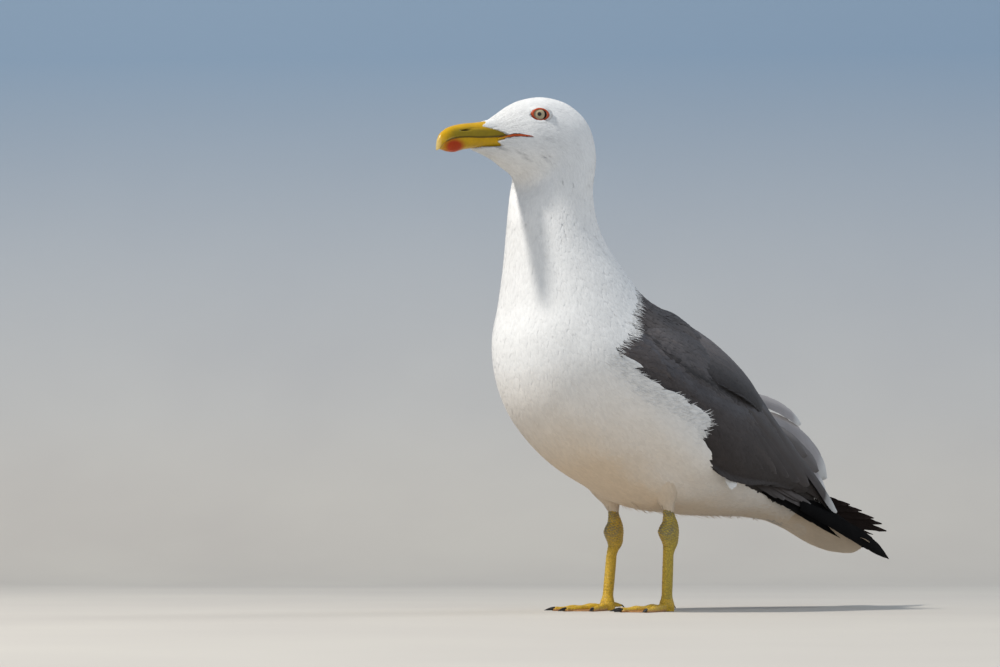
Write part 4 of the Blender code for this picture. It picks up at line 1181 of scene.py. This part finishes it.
# Tertials and secondaries: each tip on the wing's chart, its half width and how far its root lies ahead.
tertials = array([(10.05, 0.84, 7.6, 4.6, 0.62), (8.55, 0.90, 9.0, 3.6, 0.5), (8.05, 0.925, 9.0, 3.2, 0.5),
                  (7.5, 0.935, 9.2, 3.0, 0.5), (6.9, 0.945, 9.2, 2.8, 0.48), (6.3, 0.95, 9.2, 2.6, 0.46),
                  (5.7, 0.95, 9.0, 2.4, 0.44), (5.1, 0.95, 8.5, 2.2, 0.4)])
# The lower coverts between the wing's edge and the primaries: root, tip (side, ahead, up), half width,
# how grey.
underVanes = array([
    (48, -58, 121, 43, -96, 107, 6.5, 0.15), (47, -70, 117, 40, -114, 101, 6.0, 0.1),
    (45.5, -82, 113, 37.5, -128, 96, 5.5, 0.15), (43, -94, 110.5, 36, -138, 94, 4.6, 0.3),
    (39, -110, 108, 31.5, -163, 92.5, 3.4, 0.75), (38, -106, 106, 32.5, -158, 90, 3.0, 0.55),
    (38, -118, 108, 30, -178, 89.5, 3.2, 0.85), (37, -112, 104, 31, -171, 86.5, 3.0, 0.65)])


def makeBed(name, table, hand, reach):  # the flesh and the feathers' roots under the coverts
    def bed(u, v):
        share = np.where(v > 0.5, 2 - v * 2, v * 2) * 0.94 + 0.03
        outer, lower = (shellChart(table, hand, sink)(u * reach + 0.1, share) for sink in (2.4, 4.4))
        return np.where((v > 0.5)[:, None], lower, outer)
    # The bed is coloured deep slate: painted shade that shows in the gaps between the tufts.
    dressPiece(gridPiece(name, 60, 48, bed, closed=True), tones["slateDeep"], slateFinish)


def makeScapulars(side):
    def tintAt(u, v):
        # Painted light: the front top is lit, warmer and paler, the rear and lower parts are darkened as
        # shade, and the upper edge takes a bluish painted sky highlight.
        warm = clip(1.15 - 0.24 * u, 0, 1) * clip(1.4 - 2.2 * abs(v - 0.3), 0, 1)
        rear = fade(u, 1.5, 3) * 0.12 + fade(v, 0.40, 0.5) * 0.5
        shade = slateTones(u, v, 21, warm) * (1 + 1.5 * warm - rear)[:, None]
        return mix(shade, tones["ridge"], 0.55 * near(v, 0.10, 0.12) * fade(u, 0.8, 1.0))
    slateTufts("coatScapulars_" + side, shellChart(scapularRows, hands[side]), ((-0.7, 5.6), (0.0, 0.99)),
               4600, 101, ([0, 2, 4, 5.6], [12, 15, 16, 13]), tintAt, hands[side], 0.12,
               limit=(5.85, [0, 1], [1.01, 1.01]), raiseAt=lambda u, v: 0.0012 * fade(v, 0.75, 0.25),
               nodes=("scapulars_" + side,))
    makeBed("scapularBed_" + side, scapularRows, hands[side], 5.2)


def makeWing(side):
    hand = hands[side]
    chart = shellChart(wingRows, hand)

    def tintAt(u, v):
        below = v - interp(u + 0.2, *grooveLine.values())  # shade under the scapulars
        dark = near(below, 0.015, 0.05) * (u > 1.4) * (u < 7)
        # Painted light: the lower and rear parts darken towards deep slate as shade, the front top is lit
        # paler, and a bluish painted highlight strip runs just below the groove's shade.
        low = fade(v, 0.40, 0.5) + fade(u, 5, 5) * 0.3
        lit = clip(1.4 - u / 3, 0, 1) * fade(v, 0.8, -0.3)
        shade = slateTones(u, v, 31, clip(0.65 - 0.2 * u, 0, 1)) * (1.08 + 0.4 * lit)[:, None]
        shade = mix(shade, tones["ridge"], 0.4 * near(below, 0.13, 0.08) * (u > 1.8) * fade(u, 7, -2))
        return mix(shade, tones["slateDeep"], 0.8 * low) * (1 - 0.7 * dark)[:, None]
    slateTufts("coatCoverts_" + side, chart, ((-0.5, 8.0), (0.0, 1.03)), 4800, 111,
               ([0, 3, 6, 9], [11, 14, 17, 20]), tintAt, hand, 0.18, nodes=("wing_" + side,),
               limit=(99, [2, 3.7, 4.15, 4.6, 6, 7, 9], [0.96, 0.96, 1.0, 1.05, 1.05, 1, 0.95]))
    makeBed("wingBed_" + side, wingRows, hand, 9.6)

    end, half = tertials[:, :2], tertials[:, 2] / 1000
    start = end - tertials[:, 3:]
    shape, size = frayed(longVane, half, 6, 3, 0.10)
    shares = sharesOf(shape)
    lift = linspace(1.1, -0.6, len(end))[:, None] / 1000 - 0.0016 * (1 - shares) ** 1.5
    # The tertials are darkened towards deep slate: painted shade low on the wing.
    tint = mix(slateTones(*start.T, 41, 0.35), tones["slateDeep"], 0.6)
    colours = edged(tint, shares, tones["pale"], 0.975, 0.08)
    colours[0] = edged(tint[:1] * 1.25, shares, tones["white"] * 0.8, 0.88)[0]
    growVanes("coatTertials_" + side, vanePath(chart, start, end, shares, hand), size, lift, half * 0.05,
              half * 0.12, shape, colours, chartPatch(start, (0, 10), (0, 1)), slateFinish)

    roots, tips = underVanes[:, :3] * (hand, 1, 1), underVanes[:, 3:6] * (hand, 1, 1)
    half = underVanes[:, 6] / 1000
    for places in (roots, tips):
        places[:, 2] -= places[:, 1] * (hand < 0) * rightLift / 200
    shape, size = frayed(longVane, half, 16, 4, 0.12)
    shares = sharesOf(shape)
    path = straightPath(roots, tips, (0.87 * hand, -0.3, 0.35), shares)
    # The lower coverts take the painted shade tone of the under-wing, greyer by their last column.
    colours = edged(mix(tones["underWingShade"] * 1.6, tones["paleShade"], underVanes[:, 7]), shares, tones["pale"],
                    0.93, 0.2)
    growVanes("coatUnder_" + side, path, size, 0.0, half * 0.07, half * 0.12, shape, colours,
              spread(len(half)), slateFinish)


# The flight feathers that leave the wings: their tips, the root, and for each side the seed, teeth, depth
# of the splits and upper width. One more bows round the tail's edge.
primaries = {
    "left": [(12, -304, 42), (13.5, -294, 48.5), (15, -278, 58), (16.5, -259, 66.5), (18, -243, 73.5)],
    "right": [(1.5, -293, 63.5), (2, -311, 67), (1, -306, 73.5), (0, -296, 78.5), (-1, -281, 85),
              (-3, -267, 90.5)],
    "root": (40.0, -95.0, 107.0), "fray": {"left": (3, 5, 0.18, 0.8), "right": (4, 7, 0.42, 0.62)},
    "outer": ([(34.0, -160, 87.5)], [(12.0, -302, 43)], (11.0, 0, -3))}


def makePrimaries(side):
    hand, tips = hands[side], array(primaries[side], float)
    seed, teeth, depth, upper = primaries["fray"][side]
    count = len(tips)
    steps = np.arange(count)
    starts = array(primaries["root"]) * (hand, 1, 1) + stack([0 * steps, 3.0 * steps, 2.2 * steps], -1)
    outward = np.cross(tips[0] - starts[0], tips[-1] - tips[0])
    outward = outward / np.linalg.norm(outward)
    outward = outward * (1 if outward[0] * hand > 0 else -1)
    starts = starts + outward * (steps * 0.3)[:, None] - outward * 0.6
    shape, half = frayed(bladeVane, np.full(count, 0.0095), seed, teeth, depth, 56)
    lowSide = 0 if hand > 0 else 1
    half[0, :, lowSide] *= interp(linspace(0, 1, 56), [0, 0.35, 0.6, 1.0], [0.7, 0.38, 0.16, 0.2])
    half[:, :, 1 - lowSide] *= upper
    shares = sharesOf(shape)
    tint = np.tile(tones["black" if hand > 0 else "brownBlack"], (count, 1))
    colours = edged(tint, shares, tones["brownBlack"] * 3.0, 0.95, 0.5)
    growVanes("primaryFeathers_" + side, straightPath(starts, tips - outward * 0.6, outward, shares), half,
              0.0, 0.0005, 0.0008, shape, colours, spread(count), blackFinish, ("primaries_" + side,))
    if hand > 0:
        root, tip, bow = primaries["outer"]
        shape, half = frayed(bladeVane, 0.0048, 5, 5, 0.12, 56)
        growVanes("primaryOuter", straightPath(root, tip, outward, shares, bow), half * (1.25, 2.1), 0.0,
                  0.0005, 0.0006, shape, tint[:1], spread(1), blackFinish)


# The loose feathers of the right wing: root, tip, width, bow, how far the dark of the vane reaches.
lifted = [((-14, -124, 182), (-23, -226, 162), 15, (0, -6, 7), 0.3),
          ((-14, -140, 164), (-17, -253, 114), 30, (0, -9, 15), 0.35),
          ((-11, -164, 140), (-10, -243, 103), 22, (0, -4, 6), 0.8),
          ((-9, -146, 158), (-11.5, -236, 120), 20, (0, -6, 8), 0.9),
          ((-7, -140, 160), (-9, -218, 133), 17, (0, -5, 6), 1.0)]


def makeLifted():
    for index, (root, tip, width, bow, dark) in enumerate(lifted):
        half, solid = width / 2000, index < 3
        shape, size = frayed(longVane, half, 70 + index, 5, 0.13, 60)
        shares = sharesOf(shape)
        deep = near(shares, 0.45, 0.42) * dark if solid else np.full(len(shares), dark)
        colours = mix(tones["pale"], tones["paleShade"], deep)
        colours = mix(colours, tones["white"] * 0.7, solid * fade(shares, 0.84, 0.1))[None]
        growVanes(f"loosePlume_{index + 1}", straightPath([root], [tip], (0.85, 0.15, 0.5), shares, bow),
                  size, 0.0, half * 0.05, half * 0.15, shape, colours, spread(1) + 0.4, paleFinish,
                  (f"lifted_feather_{index + 1}",) if solid else ())


# Slices of the tail: ahead, middle height, half width, thickness, how far its edges droop.
tailRows = array([(-170, 84, 22, 24, 0), (-186, 79, 25, 20, -1), (-204, 71, 26.5, 19, -3),
                  (-222, 60.5, 27.5, 13, -6), (-238, 53.5, 28, 8, -7.5), (-249, 49.5, 26.5, 4, -8),
                  (-256, 48, 21, 1.8, -6.5)], float)


def tailChart(sink=0.0):
    def chart(u, v):  # u from the root to the end, v round it from the left edge, first below
        ahead, middle, half, thick, droop = np.moveaxis(readRows(tailRows, u), -1, 0)
        turn = -2 * pi * np.asarray(v, float)
        across = cos(turn)
        rounded = 5 * (1 - across * across) * fade(ahead, -243, -6)
        up = middle + sin(turn) * np.maximum(thick / 2 - sink, 0.3) - droop * across * across
        return inFrame(stack([across * (half - sink), ahead - rounded, up], -1))
    return chart


def makeTail():
    chart, sunk = tailChart(), tailChart(0.5)
    # The tail is mostly the tan tone: painted shade, warmed by bounce light from the floor.
    tone = mix(tones["white"], tones["bounceShadeTan"], 0.9)
    dressPiece(gridPiece("tailBed", 60, 60, lambda u, v: sunk(u * 6.05, v), closed=True), tone, whiteFinish,
               ("tail",))

    # The tail feathers, laid round the fan so that their rounded ends make its edge.
    count = 10
    odd = np.arange(count) % 2
    end = stack([np.where(odd, 5.97, 5.93), linspace(0.55, 0.95, count)], -1)
    start = end - (3.6, 0.0)
    shape, half = frayed(tailVane, np.full(count, 0.0070), 9, 3, 0.01)
    shares = sharesOf(shape)
    lift = -0.0016 * (1 - shares) ** 1.5 + np.where(odd, 0.2, 0.0)[:, None] / 1000
    growVanes("tailFeathers", vanePath(chart, start, end, shares), half, lift, 0.0003, 0.0002, shape,
              tone * linspace(0.9, 0.97, count)[:, None], chartPatch(start, (0, 6.2), (0, 1)), whiteFinish)

    draw = np.random.default_rng(77)
    spans = ((-0.6, 5.8), (0.0, 1.0))
    start = scatter(chart, *spans, 3100, 4)
    start = start[(start[:, 0] < 4.6) | (start[:, 1] < 0.52)]
    u, count = start[:, 0], len(start)
    length = interp(u, [0, 4, 5, 5.8], [17, 17, 10, 5]) / 1000 * draw.uniform(0.8, 1.2, count)
    end = heading(chart, start, draw.normal(0, 0.08, count), length)
    end[:, 0] = np.minimum(end[:, 0], 6.04)
    tint = tone * draw.uniform(0.95, 1, (count, 1))
    look = {"shape": bodyTuft, "half": draw.uniform(1.5, 2.2, count) / 1000, "curve": 2.4, "level": 0.0001,
            "deep": 0.0006 + 0.002 * fade(u[:, None], 5.2, -2), "thick": 0.10, "droop": 0.04}
    layTufts("coatTail", chart, start, end, look, tint, spans, whiteFinish)


def makeStage():
    made, tree, shader = newMaterial("paleFloor", Roughness=0.8)
    place = addNode(tree, "TexCoord").outputs["Object"]
    ground = ramp(tree, noise(tree, place, 3.0, 3.0), [(0.3, (0.50, 0.46, 0.41)), (0.7, (0.54, 0.50, 0.44))])
    height = addNode(tree, "SeparateXYZ", {"Vector": place}).outputs["Z"]
    share = addNode(tree, "MapRange", {"Value": height, "From Min": 0.0, "From Max": 0.9}).outputs["Result"]
    wall = ramp(tree, share,
                [(0.0, (0.50, 0.47, 0.43)), (0.3, (0.35, 0.40, 0.46)), (1.0, (0.23, 0.32, 0.43))])
    tree.links.new(blend(tree, share, ground, wall), shader.inputs["Base Color"])

    def sweep(u, v):  # a floor that turns up behind the bird in one round bend
        reach, bend = 3.0, 0.8
        t = u * (reach + bend * pi / 2 + 3.0)
        turn = clip((t - reach) / bend, 0, pi / 2)
        depth = np.minimum(t, reach) + bend * sin(turn) - 1.5
        up = bend * (1 - cos(turn)) + clip(t - reach - bend * pi / 2, 0, None)
        across = (v - 0.5) * 10
        return stack([0.7071 * (across - depth), 0.7071 * (across + depth), up], -1)
    floor = gridPiece("floor", 80, 12, sweep)
    floor.data.materials.append(made)
    if floor.data.polygons[0].normal.z < -0.5:
        floor.data.flip_normals()


lamps = {"key": ((-0.56, -2.18, 2.95), 0.25, 125, (1.0, 0.965, 0.91)),  # place, size, power, colour
         "fill": ((2.6, -1.6, 1.2), 2.2, 16, (0.90, 0.95, 1.0)),
         "rim": ((0.6, 2.2, 1.8), 1.2, 16, (0.9, 0.95, 1.0))}
sky = {"Color": (0.68, 0.79, 0.94, 1), "Strength": 0.5}


def makeLights():
    for name, (place, size, power, colour) in lamps.items():
        data = bpy.data.lights.new(name, "AREA")
        data.size, data.energy, data.color = size, power, colour
        data.shape = "DISK"
        lamp = placeInScene(name, data)
        lamp.location = place
        lamp.rotation_euler = (Vector((0, 0, 0.22)) - Vector(place)).to_track_quat("-Z", "Y").to_euler()
    world = bpy.data.worlds.new("studio")
    world.use_nodes = True
    for socket, value in sky.items():
        world.node_tree.nodes["Background"].inputs[socket].default_value = value
    bpy.context.scene.world = world
    bpy.context.scene.view_settings.view_transform = "Standard"


view = {"distance": 2.2, "height": 0.052, "lens": 95.5, "sideways": -0.0528, "upwards": 0.0808}


def makeCamera():
    data = bpy.data.cameras.new("camera")
    data.lens, data.sensor_width, data.clip_end = view["lens"], 36, 50
    camera = placeInScene("camera", data)
    level = math.sqrt(0.5)
    ahead, right = Vector((-level, level, 0)), Vector((level, level, 0))
    camera.location = Vector((0, shift[1], view["height"])) - ahead * view["distance"]
    look = ahead + right * view["sideways"] + Vector((0, 0, 1)) * view["upwards"]
    camera.rotation_euler = look.to_track_quat("-Z", "Y").to_euler()
    bpy.context.scene.camera = camera


makeSkin()
print("skin ready")
makeWhiteCoat()
makeWisps()
makeMantle()
for side in hands:
    for make in (makeThighCoat, makeFringe, makeEye, makeGape, makeLeg, makeScapulars, makeWing,
                 makePrimaries):
        make(side)
    print(side, "side ready")
makeBill()
makeLifted()
makeTail()
makeStage()
makeLights()
makeCamera()
bpy.context.view_layer.update()
